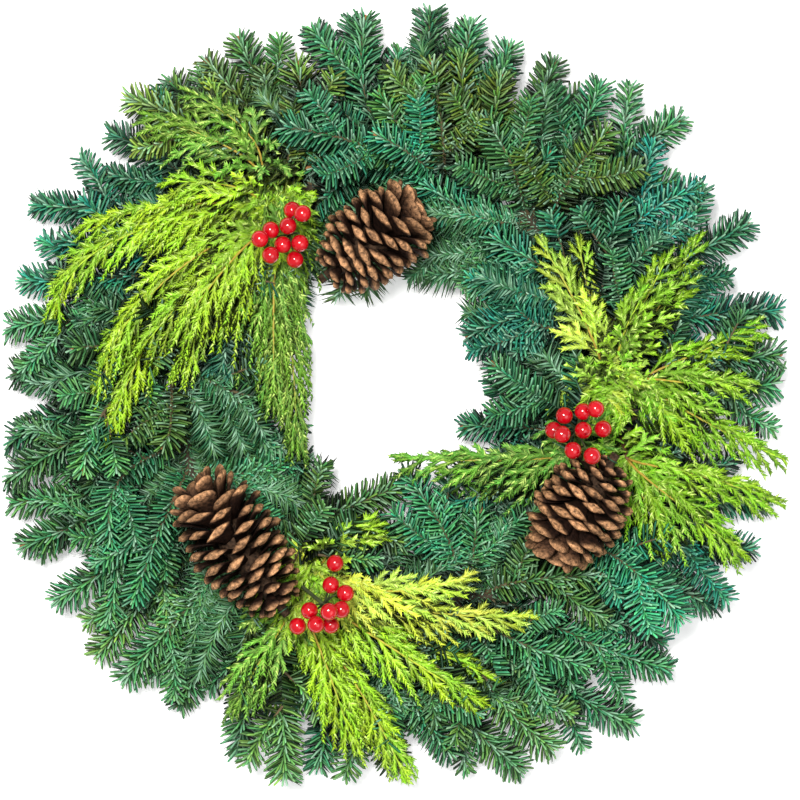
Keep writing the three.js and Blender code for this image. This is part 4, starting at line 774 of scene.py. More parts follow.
def place_cones():
    for number, cone in enumerate(CONES):
        body = cone_frame(cone)
        thick = [body.base + (body.tip - body.base) * share for share in CONE_CLEAR]
        placed.add(*thick, cone.radius, CONE_OWNER + number)
        placed.add(body.base - body.axis * STALK_LENGTH, body.base, STALK_RADIUS, CONE_OWNER + number)
    for number, cone in enumerate(CONES):
        stalk_eye, rail_eye, tail = cone_wire(cone)
        placed.path(tail, WIRE_RADIUS, CONE_WIRE_OWNER + number)
        for eye, inside in ((rail_eye, RAIL_WIRE_RADIUS), (stalk_eye, STALK_RADIUS)):
            placed.add(eye, eye, eye_radius(inside) + WIRE_RADIUS, CONE_WIRE_OWNER + number)


# Stem on the rails under a tie wire, rising out of it towards a place in the foliage
def tied_stem(tie_bearing, slot, way, toward, reach, rise):
    middle = on_circle(CEDAR_FIRST_SLOT + CEDAR_SLOT_STEP * slot, tie_bearing, TIED_HEIGHT)
    along = along_ring(tie_bearing) * way
    lead = middle + along * CEDAR_LEAD
    heading = unit(unit((toward - lead) * (1, 1, 0)) + along)
    return [middle - along * CEDAR_TAIL, lead, lead + heading * reach + UP * rise]


def branch_path(index):
    middle = on_circle(RING_RADIUS, clamp_bearing(index), BRANCH_HEIGHT)
    along = along_ring(clamp_bearing(index))
    lead = middle + along * BRANCH_LEAD + UP * BRANCH_RISE
    return [middle - along * BRANCH_TAIL, middle + along * BRANCH_KNEE, lead]


def berry_centers(hub, berries):
    centers = []
    for x, y in berries:
        away = math.hypot(x - hub[0], y - hub[1])
        dome = BERRY_DOME * math.cos(min(1, away / BERRY_DOME_REACH) * math.pi / 2)
        center = vec(x, y, BERRY_HEIGHT + dome)
        while any(np.linalg.norm(other - center) < 2 * BERRY_RADIUS + SEAT_GAP for other in centers):
            center[2] += 1
        while placed.gap(center, center, BERRY_RADIUS, 2 * BERRY_GAP, nothing) < BERRY_GAP:
            center[2] += 1
        centers.append(center)
    return centers


def place_picks():
    picks = []
    for number, (group, slot, hub, berries) in enumerate(PICKS):
        hub = vec(*hub)
        owner = PICK_OWNER + number
        stem = [*tied_stem(CEDAR_GROUPS[group][1], slot, 1, hub, PICK_REACH, PICK_RISE), hub]
        centers = berry_centers(hub, berries)
        placed.path(stem, PICK_STEM_RADIUS, owner)
        for center in centers:
            placed.add(center, center, BERRY_RADIUS, owner)
            placed.add(hub, center, BERRY_STEM_RADIUS, owner)
        picks.append((stem, centers))
    return picks


# Length of a curve's first part, which ends when it is far enough from its stem
def clear_of_stem(curve, stem, radius):
    along = FIRST_RING_LEAST
    starts, ends = np.array(stem[:-1]), np.array(stem[1:])
    while along < FIRST_RING_MOST:
        point = curve.at(along / curve.length)
        if (piece_distance(point, point, starts, ends) > radius).all():
            break
        along += 1
    return along


# Raises or lowers the outer half of a path in steps until it is clear of everything placed
def cleared_curve(make_curve, skip, room):
    best = None
    for rise in range(0, room.limit + 1, room.step):
        for signed in ((rise, -rise) if rise else (0,)):
            curve = make_curve(signed)
            if curve is None:
                continue
            points = curve.at(np.arange(PATH_PIECES + 1) / PATH_PIECES)
            gap = min(placed.gap(points[i - 1], points[i], room.radius, room.gap, skip(i))
                      for i in range(1, PATH_PIECES + 1))
            if best is None or gap > best[2] + GAP_GAIN:
                best = (curve, points, gap)
            if gap >= room.gap:
                return best
    return best


# Clears a curve that leaves a stem, then places its flared root and its straight pieces
def settle(make_curve, skip, room, stem, owner):
    curve, points, _ = cleared_curve(make_curve, skip, room)
    first = clear_of_stem(curve, stem, room.clearance)
    placed.add(curve.at(0), curve.at(first / curve.length), room.radius + FLARE, owner, 1)
    for i in range(1, PATH_PIECES + 1):
        placed.add(points[i - 1], points[i], room.radius, owner, i)
    return curve


# First pieces of a branch's own curves, which lie beside one another
def near_root(piece, parts):
    return (piece <= 1) | (parts <= 1)


def frond_start(stem, order):
    length = np.linalg.norm(stem[2] - stem[1])
    return stem[1] + (stem[2] - stem[1]) * (1 - max(0, order - 0.5) * CEDAR_STEM_STEP / length)


def place_frond(row, order, count, stem, owner):
    start = frond_start(stem, order)
    heading = unit(stem[2] - stem[1])
    height = FROND_LOW + FROND_SPREAD * scatter(count)

    def make_curve(rise):
        tip = vec(row[0], row[1], height - FROND_TIP_DROP + rise)
        if tip[2] < FROND_LOWEST:
            return None
        bend = vec(row[2], row[3], height + rise)
        first = start + heading * FROND_LEAD
        return Curve(start, first + (bend - first) * FROND_TURN, bend, tip)

    def skip(piece):
        return lambda owners, parts: (owners == owner) & near_root(piece, parts)

    return settle(make_curve, skip, FROND_ROOM, stem, owner)


Cedar = namedtuple("Cedar", "name group tint stem curves")


def place_cedar():
    cedar = []
    count = 0
    for group, tie_bearing, branches in CEDAR_GROUPS:
        for number, (tint, slot, way, rows) in enumerate(branches):
            owner = CEDAR_OWNER + len(cedar)
            toward = vec(np.mean([row[2] for row in rows]), np.mean([row[3] for row in rows]), 0)
            stem = tied_stem(tie_bearing, slot, way, toward, CEDAR_REACH, CEDAR_RISE)
            placed.path(stem, CEDAR_STEM_RADIUS + CEDAR_STEM_MARGIN, owner, -1)
            curves = [place_frond(row, order, count + order, stem, owner) for order, row in enumerate(rows)]
            cedar.append(Cedar(f"cedar_{group}_{number + 1}", group, tint, stem, curves))
            count += len(rows)
    return cedar


def bunch_of(x, y):
    lead = bearing_of(x, y) - BUNCH_LEAD_BEARING - CLAMP_FIRST_BEARING
    return math.floor(lead / CLAMP_STEP + 0.5) % CLAMP_COUNT


# Twigs leave the branch in the order of their bearings, so that none cross
def twig_start(row, siblings, bunch):
    def ahead(other):
        return (bearing_of(other[2], other[3]) - clamp_bearing(bunch) + 180) % 360

    rank = sum(ahead(other) < ahead(row) for other in siblings)
    spacing = (TWIG_LAST_START - TWIG_FIRST_START) / max(1, len(siblings) - 1)
    distance = TWIG_FIRST_START + spacing * rank
    _, knee, lead = branch_path(bunch)
    return knee + (lead - knee) * (distance - BRANCH_KNEE) / (BRANCH_LEAD - BRANCH_KNEE)


def place_twig(row, start, height, arch, bunch):
    owner = BUNCH_OWNER + bunch
    along = along_ring(clamp_bearing(bunch))

    def make_curve(rise):
        tip = vec(row[0], row[1], height + rise)
        if tip[2] < LOWEST_TWIG_TIP:
            return None
        root = vec(row[2], row[3], height + rise + arch)
        first = start + (root - start) * TWIG_TURN_SHARE + along * TWIG_TURN_LEAD
        return Curve(start, first, root, tip)

    def skip(piece):
        return lambda owners, parts: (((owners == RING_OWNER) & (piece <= 1))
                                      | ((owners == owner) & near_root(piece, parts)))

    return settle(make_curve, skip, TWIG_ROOM, branch_path(bunch), owner)


Twig = namedtuple("Twig", "bunch kind curve")


def place_twigs():
    twigs = []
    everything = [row for rows, *_ in TWIG_ROWS for row in rows]
    for rows, low, extra, arch in TWIG_ROWS:
        for row in rows:
            bunch = bunch_of(row[2], row[3])
            siblings = [other for other in everything if bunch_of(other[2], other[3]) == bunch]
            start = twig_start(row, siblings, bunch)
            height = low + extra * scatter(len(twigs))
            twigs.append(Twig(bunch, row[4], place_twig(row, start, height, arch, bunch)))
    return twigs


def place_everything():
    place_ring()
    place_ties()
    place_cones()
    for index in range(CLAMP_COUNT):
        placed.path(branch_path(index), BRANCH_RADIUS, BUNCH_OWNER + index, -1)
    return place_picks(), place_cedar(), place_twigs()


# Meshes, with one seeded sequence for all that varies
random = np.random.default_rng(SEED)


def spread(low, high, *size):
    return random.uniform(low, high, size or None)


def jitter(most, *size):
    return spread(-most, most, *size)


class Shape:
    """Points, faces and colours gathered for one piece."""

    def __init__(self):
        self.points, self.tints, self.places = [], [], []
        self.quads, self.triangles = [], []
        self.quad_slots, self.triangle_slots = [], []
        self.count = 0

    def add(self, points, tints, places, quads, triangles, slot):
        self.quads.append(quads + self.count)
        self.triangles.append(triangles + self.count)
        self.quad_slots.append(np.full(len(quads), slot))
        self.triangle_slots.append(np.full(len(triangles), slot))
        self.points.append(points)
        self.tints.append(tints)
        self.places.append(places)
        self.count += len(points)


# Power above one makes a cross-section more like a diamond, below one more like a box
def outline(sides, power, turn):
    angles = turn + np.arange(sides) * 2 * math.pi / sides
    cosines, sines = np.cos(angles), np.sin(angles)
    return np.sign(cosines) * np.abs(cosines) ** power, np.sign(sines) * np.abs(sines) ** power


# Cross-sections of stalks along many paths, between the first and the last point of each path
def stalk_points(paths, widths, heights, ups, section):
    count, rings = len(paths), paths.shape[1] - 1
    cosines, sines = section
    tangents = unit(np.gradient(paths, axis=1))
    across = unit(np.cross(np.broadcast_to(ups.reshape(-1, 1, 3), paths.shape), tangents))
    normals = np.cross(tangents, across)
    widths = np.broadcast_to(widths, (count, rings))[:, :, None, None]
    heights = np.broadcast_to(heights, (count, rings))[:, :, None, None]
    walls = paths[:, :rings, None] + across[:, :rings, None] * cosines[:, None] * widths
    walls = walls + normals[:, :rings, None] * sines[:, None] * heights
    return np.concatenate([paths[:, :1], walls.reshape(count, -1, 3), paths[:, -1:]], axis=1)


# Faces of one stalk: four-sided ones round it, and triangles that close its ends
def stalk_faces(rings, sides, rooted):
    ring, side = np.meshgrid(np.arange(rings - 1), np.arange(sides), indexing="ij")
    here, beside = 1 + ring * sides + side, 1 + ring * sides + (side + 1) % sides
    quads = np.stack([here, beside, beside + sides, here + sides], axis=2).reshape(-1, 4)
    side = np.arange(sides)
    after = (side + 1) % sides
    last = 1 + (rings - 1) * sides
    starts = np.stack([np.zeros(sides, dtype=int), 1 + after, 1 + side], axis=1)
    ends = np.stack([last + side, last + after, np.full(sides, last + sides)], axis=1)
    return quads, ends if rooted else np.concatenate([starts, ends])


# Tapering stalks along one path or many at once; each ends in the last point of its path. A rooted one
# grows out of something that hides its start, and has no faces there
def sweep(shape, paths, widths, sides, tints, slot=0, heights=None, ups=UP, power=1.0, turn=0.0, mark=None,
          rooted=False):
    paths = np.asarray(paths, dtype=float)
    paths = paths if paths.ndim == 3 else paths[None]
    count, steps = paths.shape[:2]
    if not count:
        return
    rings = steps - 1
    section = outline(sides, power, turn)
    points = stalk_points(paths, widths, widths if heights is None else heights, ups, section)
    along = np.concatenate([[0], np.repeat(np.arange(rings) / rings, sides), [1]])
    top = np.concatenate([[0], np.tile(section[1], rings), [0]])
    marks = random.random(count) if mark is None else np.full(count, mark)
    places = np.stack(np.broadcast_arrays(along[None], marks[:, None], top[None]), axis=2)
    tints = tints if tints.ndim == 3 else tints.reshape(-1, 1, 3)
    tints = np.broadcast_to(tints, points.shape)
    quads, triangles = stalk_faces(rings, sides, rooted)
    offsets = np.arange(count)[:, None, None] * points.shape[1]
    shape.add(points.reshape(-1, 3), tints.reshape(-1, 3), places.reshape(-1, 3),
              (quads[None] + offsets).reshape(-1, 4), (triangles[None] + offsets).reshape(-1, 3), slot)


# Path with each inner corner rounded off, evenly spaced
def rounded(points, cut, count):
    path = [points[0]]
    for before, corner, after in zip(points[:-2], points[1:-1], points[2:]):
        one = corner + unit(before - corner) * min(cut, np.linalg.norm(before - corner) / 2)
        two = corner + unit(after - corner) * min(cut, np.linalg.norm(after - corner) / 2)
        for t in np.linspace(0, 1, CORNER_POINTS):
            path.append((1 - t) ** 2 * one + 2 * t * (1 - t) * corner + t ** 2 * two)
    path = np.array([*path, points[-1]])
    reached = np.concatenate([[0], np.cumsum(np.linalg.norm(np.diff(path, axis=0), axis=1))])
    wanted = np.linspace(0, reached[-1], count)
    return np.stack([np.interp(wanted, reached, path[:, axis]) for axis in range(3)], axis=1)


# Path with one more point straight on, in which its stalk closes
def closed(path, length=CLOSING):
    return np.concatenate([path, path[-1:] + unit(path[-1:] - path[-2:-1]) * length])


def make_piece(node, look, shape, materials):
    name = f"{node}_{look}"
    quads, triangles = np.concatenate(shape.quads), np.concatenate(shape.triangles)
    mesh = bpy.data.meshes.new(name)
    points = np.clip(np.concatenate(shape.points) * MM, np.array(cad_box[0]), np.array(cad_box[1]))
    mesh.vertices.add(len(points))
    mesh.vertices.foreach_set("co", points.ravel())
    mesh.loops.add(quads.size + triangles.size)
    mesh.loops.foreach_set("vertex_index", np.concatenate([quads.ravel(), triangles.ravel()]))
    mesh.polygons.add(len(quads) + len(triangles))
    starts = np.concatenate([np.arange(len(quads)) * 4, quads.size + np.arange(len(triangles)) * 3])
    mesh.polygons.foreach_set("loop_start", starts)
    slots = np.concatenate([*shape.quad_slots, *shape.triangle_slots])
    for material in materials:
        mesh.materials.append(material)
    mesh.polygons.foreach_set("material_index", slots.astype(np.int32))
    mesh.polygons.foreach_set("use_smooth", np.ones(len(slots), dtype=bool))
    for key, values in (("tint", shape.tints), ("place", shape.places)):
        values = np.concatenate(values)
        layer = mesh.attributes.new(key, "FLOAT_COLOR", "POINT")
        layer.data.foreach_set("color", np.concatenate([values, np.ones((len(values), 1))], axis=1).ravel())
    mesh.update(calc_edges=True)
    piece = bpy.data.objects.new(name, mesh)
    bpy.context.scene.collection.objects.link(piece)
    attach(piece, "root")
    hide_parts(node)


def in_hole(points, margin):
    low_x, high_x, low_y, high_y = HOLE
    return ((points[..., 0] > low_x - margin) & (points[..., 0] < high_x + margin)
            & (points[..., 1] > low_y - margin) & (points[..., 1] < high_y + margin))


def out_of_reach(points):
    over = np.abs(points[..., :2]).max(-1) > WIDEST_REACH
    return over | (points[..., 2] < LOWEST_NEEDLE) | (points[..., 2] > highest_needle)


# Share of a cone's own reach at which a point lies: below one it is inside the cone
def cone_share(points, cone):
    body = cone_frame(cone)
    along = ((points - body.base) @ body.axis) / body.length
    away = np.linalg.norm(points - body.base - (along * body.length)[..., None] * body.axis, axis=-1)
    reach = np.interp(along, *CONE_PROFILE) * cone.radius
    beside = (along > CONE_ENDS[0]) & (along < CONE_ENDS[1])
    return np.where(beside, away / np.maximum(reach, CONE_LEAST_REACH), OFF_CONE)


def in_fruit(points, margin=BERRY_MARGIN):
    hit = np.zeros(points.shape[:-1], dtype=bool)
    for cone in CONES:
        hit |= cone_share(points, cone) < CONE_SKIN
    for center in all_berries:
        hit |= np.linalg.norm(points - center, axis=-1) < BERRY_RADIUS + margin
    return hit


# Grid of cells over the wreath, and the cell over which a point lies
def map_cells(points):
    cells = ((points[..., :2] + TOP_MAP_HALF) / TOP_MAP_CELL).astype(int)
    cells = np.clip(cells, 0, TOP_MAP_SIZE - 1)
    return cells[..., 0], cells[..., 1]


# Height of the highest points over each cell, and how many points lie over it
def map_tops(points):
    tops = np.zeros((TOP_MAP_SIZE, TOP_MAP_SIZE))
    hits = np.zeros((TOP_MAP_SIZE, TOP_MAP_SIZE), dtype=int)
    np.maximum.at(tops, map_cells(points), points[..., 2])
    np.add.at(hits, map_cells(points), 1)
    return tops, hits


def depth_under(tops, points):
    return tops[map_cells(points)] - points[..., 2]


# Whether points of fir stand above the cedar sprays, which lie on top in the wreath
def under_cover(points):
    return depth_under(cedar_cover, points) < -COVER_LEEWAY


# Cells round a point, as steps from it
def steps_around(reach):
    return np.array([vec(x, y, 0) for x in reach for y in reach])


# No fir stands above the tied part of the cedar stems
def clear_stems(cover, stems):
    around = steps_around(np.arange(-2, 3) * TOP_MAP_CELL)
    around = around[np.hypot(around[:, 0], around[:, 1]) < STEM_CLEARANCE]
    for _, low, high in stems:
        path = low + (high - low) * np.linspace(STEM_COVER_FROM, 1, STEM_COVER_POINTS)[:, None]
        points = (path[:, None] + around).reshape(-1, 3)
        np.minimum.at(cover, map_cells(points), points[:, 2] + STEM_COVER_RISE)


# Each twig casts painted shade on what lies below it, as far to its sides as its needles reach
def map_twigs(curves):
    around = steps_around(np.arange(-1, 2) * TWIG_SHADE_REACH)
    shares = np.linspace(0, 1, TWIG_SHADE_POINTS)
    points = [curve.at(shares)[:, None] + around for curve in curves]
    return map_tops(np.concatenate(points).reshape(-1, 3))[0]


# Fir
def needle_paths(curve, row, length):
    count = max(FEWEST_NEEDLES, int((curve.length - row.bare) * row.density))
    shares = (row.bare + (curve.length - row.bare) * (np.arange(count) + 0.5) / count) / curve.length
    shares = np.clip(shares + jitter(NEEDLE_SHIFT, count) / count, 0, 1)
    tangents = curve.heading(shares, NEEDLE_STEP)
    across = unit(np.cross(UP, tangents))
    first, last = row.turns
    around = np.radians(first + (last - first) * scatter(np.arange(count)) + jitter(NEEDLE_TURN, count))
    topness = np.clip(np.sin(around), 0, 1)
    tuft = np.exp(-(1 - shares) * curve.length / TUFT_REACH)
    lean = NEEDLE_LEAN - TOP_LEAN * topness ** 2 - TUFT_LEAN * tuft + jitter(NEEDLE_LEAN_CHANGE, count)
    heading = turned(tangents, turned(across, np.cross(tangents, across), around), np.radians(lean))
    sizes = length * (1 - TOP_SHORTER * topness ** 2) * (1 - TUFT_SHORTER * tuft)
    growth = np.clip((shares * curve.length - row.bare) / NEEDLE_GAIN_REACH, 0, 1)
    sizes = sizes * spread(*NEEDLE_LENGTHS, count) * (FIRST_NEEDLES + NEEDLE_GAIN * growth)
    curl = unit(tangents + UP * NEEDLE_CURL_RISE) * (sizes * spread(*NEEDLE_CURLS, count))[:, None]
    steps = np.array(row.steps)[:, None]
    paths = curve.at(shares)[:, None] + heading[:, None] * (steps * sizes[:, None, None])
    return paths + curl[:, None] * steps ** 2, topness


# Needles on top are lighter as painted light, those below other foliage darker as painted shade, and a few,
# most of them on top, pale as painted highlights
def needle_tints(tint, topness, points):
    count = len(points)
    # Painted light: needles that face up are lighter
    shade = spread(*NEEDLE_SHADES, count) * (LOW_NEEDLE_PAINTED_SHADE + TOP_NEEDLE_PAINTED_LIGHT * topness)
    # Painted shade: the deeper below the tops of twigs and cedar, the darker
    shade = shade * np.interp(depth_under(fir_tops, points), *FIR_PAINTED_SHADES)
    tints = tint * shade[:, None] * (1 + jitter(1, count)[:, None] * NEEDLE_WARMTH)
    # Painted highlights on a few needles, most of them on top
    pale = (spread(0, 1, count) * topness ** HIGHLIGHT_TOPNESS)[:, None] ** HIGHLIGHT_RARITY
    return tints + pale * (NEEDLE_HIGHLIGHT - tints)


def needle_field(shape, curve, row, tint, length):
    paths, topness = needle_paths(curve, row, length)
    bad = in_hole(paths, -HOLE_MARGIN).any(1) | out_of_reach(paths).any(1) | in_fruit(paths[:, 1:]).any(1)
    good = ~(bad | under_cover(paths[:, 1:]).any(1))
    paths, topness = paths[good], topness[good]
    count = len(paths)
    roll = unit(np.cross(paths[:, 1] - paths[:, 0], UP)) * jitter(NEEDLE_ROLL, count)[:, None]
    widths = NEEDLE_WIDTH / 2 * spread(*NEEDLE_WIDTHS, count)[:, None] * np.array(row.widths)
    tints = needle_tints(tint, topness, paths[:, 1])
    heights = widths * NEEDLE_FLATNESS
    sweep(shape, paths, widths, **BLADE, tints=tints, heights=heights, ups=UP + roll, rooted=True)


# Shoot, shortened or left out where something is in its way
def add_shoot(shoots, start, heading, tangent, length):
    for _ in range(TRIES):
        end = start + heading * length + tangent * length * SHOOT_TURN
        tests = start + (end - start) * SHOOT_TESTS[:, None]
        in_opening = in_hole(tests, SHOOT_HOLE_MARGIN).any()
        if not (in_opening or out_of_reach(tests).any() or in_fruit(tests, SHOOT_FRUIT_MARGIN).any()):
            shoots.append(Curve(start, *(start + heading * length * share for share in SHOOT_PULLS), end))
            return
        length *= SHORTER
        if length < SHOOT_SHORTEST:
            return


# Every second one of a row to the other side
def side_of(number):
    return 1 if number % 2 else -1


# Short shoots at both sides of a twig
def side_shoots(curve, order):
    shoots = []
    count = int(curve.length / SHOOT_PITCH)
    for number in range(count):
        share = SHOOT_FIRST + SHOOT_SPAN * (number + 0.5) / count + jitter(SHOOT_SHIFT)
        tangent = curve.heading(share)
        side = side_of(number + order)
        across = unit(np.cross(UP, tangent)) * side
        normal = np.cross(tangent, across) * side
        lean, rise = (math.radians(spread(*angles)) for angles in (SHOOT_LEANS, SHOOT_RISES))
        heading = turned(tangent, turned(across, normal, rise), lean)
        length = spread(*SHOOT_LENGTHS) * (1 - SHOOT_TAPER * share)
        add_shoot(shoots, curve.at(share), heading, tangent, length)
    return shoots


# Low shoots that spread from a branch over the ring to both sides
def under_shoots(index):
    shoots = []
    tail, knee, lead = branch_path(index)
    out = on_circle(1, clamp_bearing(index), 0)
    along = along_ring(clamp_bearing(index))
    for number in range(UNDER_SHOOTS):
        share = (number + 0.5) / UNDER_SHOOTS
        start = tail + (knee - tail) * share * 2 if share < 0.5 else knee + (lead - knee) * (share * 2 - 1)
        lean = math.radians(spread(*UNDER_LEANS))
        heading = turned(along, out * side_of(number), lean) + UP * spread(*UNDER_RISES)
        add_shoot(shoots, start, unit(heading), along, spread(*UNDER_LENGTHS))
    return shoots


# Bark of a twig, which ends where it would come out above the cedar
def bark_tube(shape, curve, first, last):
    shares = np.linspace(0, 1, max(BARK_LEAST, int(curve.length / BARK_PITCH)))
    path = curve.at(shares)
    over = under_cover(path)
    if over.any():
        path = path[:max(BARK_CUT_LEAST, int(np.argmax(over)))]
    radii = first + (last - first) * shares[:len(path) - 1]
    sweep(shape, path, radii, TWIG_SIDES, TWIG_BARK, BARK_SLOT, rooted=True)


# Brown bud at the end of a twig
def add_bud(shape, curve):
    path = curve.at(1) + curve.heading(1, BUD_HEADING_STEP) * BUD_STEPS[:, None]
    if not (out_of_reach(path).any() or under_cover(path).any() or in_hole(path, 0).any()):
        sweep(shape, path, BUD_RADII, TWIG_SIDES, BUD_BROWN, BARK_SLOT, rooted=True)


# Each twig is a little lighter or darker, and more yellow or more blue, than its neighbours
def twig_shade():
    return spread(*TWIG_SHADES) * (1 + jitter(1) * TWIG_WARMTH)


def fir_bunch(index, twigs):
    shape = Shape()
    base, slot = FIR_KINDS[BUNCH_KINDS[index]]
    tail, knee, lead = branch_path(index)
    branch = closed(rounded([tail, knee, lead], BRANCH_CUT, BRANCH_POINTS), BRANCH_END)
    wear = BRANCH_RADIUS * (1 + BRANCH_WEAR * np.sin(np.arange(BRANCH_POINTS) * BRANCH_WEAR_TURN + index))
    sweep(shape, branch, wear, BRANCH_SIDES, BARK, BARK_SLOT)
    # The branch's needles and the low shoots get painted shade, as they lie under the twigs
    needle_field(shape, Curve(tail, knee, knee, lead), BRANCH_ROW, base * UNDER_PAINTED_SHADE, BRANCH_NEEDLES)
    for shoot in under_shoots(index):
        bark_tube(shape, shoot, TWIG_ROOT_RADIUS, TWIG_TIP_RADIUS)
        tint = base * UNDER_PAINTED_SHADE * spread(*UNDER_TINTS)
        needle_field(shape, shoot, UNDER_ROW, tint, spread(*UNDER_NEEDLES))
    for twig, shoots in twigs:
        tint = base * TWIG_KINDS[twig.kind] * twig_shade()
        bark_tube(shape, twig.curve, TWIG_ROOT_RADIUS, TWIG_TIP_RADIUS)
        needle_field(shape, twig.curve, TWIG_ROW, tint, spread(*TWIG_NEEDLES))
        # The row under the twig gets painted shade
        needle_field(shape, twig.curve, TWIG_LOWER_ROW, tint * LOWER_PAINTED_SHADE, TWIG_LOWER_NEEDLES)
        add_bud(shape, twig.curve)
        for shoot in shoots:
            bark_tube(shape, shoot, TWIG_TIP_RADIUS, SHOOT_TIP_RADIUS)
            needle_field(shape, shoot, SHOOT_ROW, tint * spread(*SHOOT_TINTS), spread(*SHOOT_NEEDLES))
    make_piece(f"fir_bunch_{index + 1:02d}", "needles", shape, (needle_material, bark_material))


# Cedar: what grows on one branch, gathered before it is made
Spray = namedtuple("Spray", "stems stem_tints blades ups blade_tints")


# One strand: a thin stem with small pointed scale leaves close to it at both sides
def strand(spray, points, length, tint):
    along = unit(np.gradient(points, axis=0))
    pitch = LEAF_PITCH * spread(*LEAF_PITCHES)
    where = (1 + np.arange(int(length / pitch * 2)) * pitch / 2) / length
    where = where[where < LEAF_LAST]
    count = len(where)
    feet, forward = share_of(points, where), share_of(along, where)
    side = np.where(np.arange(count) % 2, 1, -1)[:, None]
    tilt = jitter(LEAF_TILT)
    beside = unit(unit(np.cross(UP, forward)) * side + UP * side * tilt)
    angle = np.radians(spread(*LEAF_ANGLES, count))
    way = unit(turned(forward, beside + UP * spread(*LEAF_LIFTS, count)[:, None], angle))
    size = spread(*LEAF_LENGTHS, count) * (1 - LEAF_TAPER * where)
    spray.stems.append(points)
    spray.stem_tints.append(tint)
    spray.blades.append(np.stack([feet, feet + way * size[:, None]], axis=1))
    spray.ups.append(np.repeat(unit(UP + np.cross(along[0], UP) * tilt)[None], count, axis=0))
    shade = spread(*LEAF_SHADES, count) * (LEAF_FOOT_SHADE + LEAF_TIP_GAIN * where)
    tints = tint * shade[:, None]
    # Painted highlights on a few leaves
    pale = spread(0, 1, count)[:, None] ** LEAF_HIGHLIGHT_RARITY
    spray.blade_tints.append(tints + pale * (CEDAR_HIGHLIGHT - tints))


def strand_path(start, heading, length, bend):
    steps = np.linspace(0, 1, STRAND_POINTS)
    points = start + heading * (steps * length)[:, None]
    return points + bend * (steps ** 2 * length)[:, None]


def blocked(points):
    middles = (points[1:] + points[:-1]) / 2
    in_opening = in_hole(points, -HOLE_MARGIN).any() or in_hole(middles, -HOLE_MARGIN).any()
    return in_opening or out_of_reach(points).any() or in_fruit(points[2:], STRAND_FRUIT_MARGIN).any()


# Strand cut shorter until nothing is in its way, and its length, or nothing at all
def fitted_strand(start, heading, length, bend):
    for _ in range(TRIES):
        points = strand_path(start, heading, length, bend)
        if not blocked(points):
            return points, length
        length *= SHORTER
    return None, 0


# Shorter strands that leave another one at both sides
def add_forks(spray, points, heading, length, bend, tint, number):
    forks = int(length / FORK_PITCH)
    for order in range(forks):
        share = FORK_FIRST + FORK_SPAN * (order + 0.5) / forks
        beside = unit(np.cross(UP, heading)) * side_of(order + number)
        way = unit(turned(heading, beside, math.radians(spread(*FORK_ANGLES))))
        small = length * (1 - share) * spread(*FORK_LENGTHS)
        fork = strand_path(share_of(points, [share])[0], way, small, bend)
        if not blocked(fork):
            strand(spray, fork, small, tint * spread(*FORK_TINTS))


# Strands that leave one stem at both sides, each with a few shorter ones of its own
def frond(spray, curve, tint, droop, kind):
    count = max(2, int((curve.length - kind.bare) / kind.pitch * 2))
    for number in range(count):
        share = (kind.bare + (curve.length - kind.bare) * (number + STRAND_OFFSET) / count) / curve.length
        tangent = curve.heading(share)
        across = unit(np.cross(UP, tangent)) * side_of(number)
        length = kind.longest * (1 - STRAND_TAPER * share ** STRAND_TAPER_POWER) * spread(*STRAND_LENGTHS)
        lean = math.radians(spread(STRAND_NARROWEST, kind.widest))
        heading = unit(turned(tangent, across + UP * (kind.lift + spread(*STRAND_LIFTS)), lean))
        bend = tangent * STRAND_BEND - UP * spread(*STRAND_SINKS) + HANGING * spread(*STRAND_HANGS) * droop
        bend = bend + across * spread(*STRAND_CLOSING)
        points, length = fitted_strand(curve.at(share), heading, length, bend)
        if points is not None:
            strand_tint = tint * spread(*STRAND_TINTS) * vec(spread(*STRAND_REDS), 1, spread(*STRAND_BLUES))
            strand(spray, points, length, strand_tint)
            add_forks(spray, points, heading, length, bend, strand_tint, number)
    end_heading = curve.heading(1, END_HEADING_STEP)
    points = strand_path(curve.at(END_STRAND_FROM), end_heading, END_STRAND, END_BEND)
    if not blocked(points):
        strand(spray, points, END_STRAND, tint)


def cedar_spray(branch):
    spray = Spray([], [], [], [], [])
    tint = CEDAR_TINTS[branch.tint] * GROUP_TINTS[branch.group]
    droop = GROUP_DROOPS[branch.group]
    for curve in branch.curves:
        frond(spray, curve, tint * spread(*FROND_TINTS), droop, TIP_STRANDS)
    _, low, high = branch.stem
    first, second = HUB_PULLS
    inner = Curve(low, low + (high - low) * first, low + (high - low) * second, high)
    frond(spray, inner, tint * HUB_SHADE, droop, HUB_STRANDS)
    back_end = low + UP * HUB_RISE
    back = Curve(high, high + (low - high) * first + UP * BACK_ARCH, back_end, back_end)
    frond(spray, back, tint * BACK_SHADE, droop, BACK_STRANDS)
    return spray


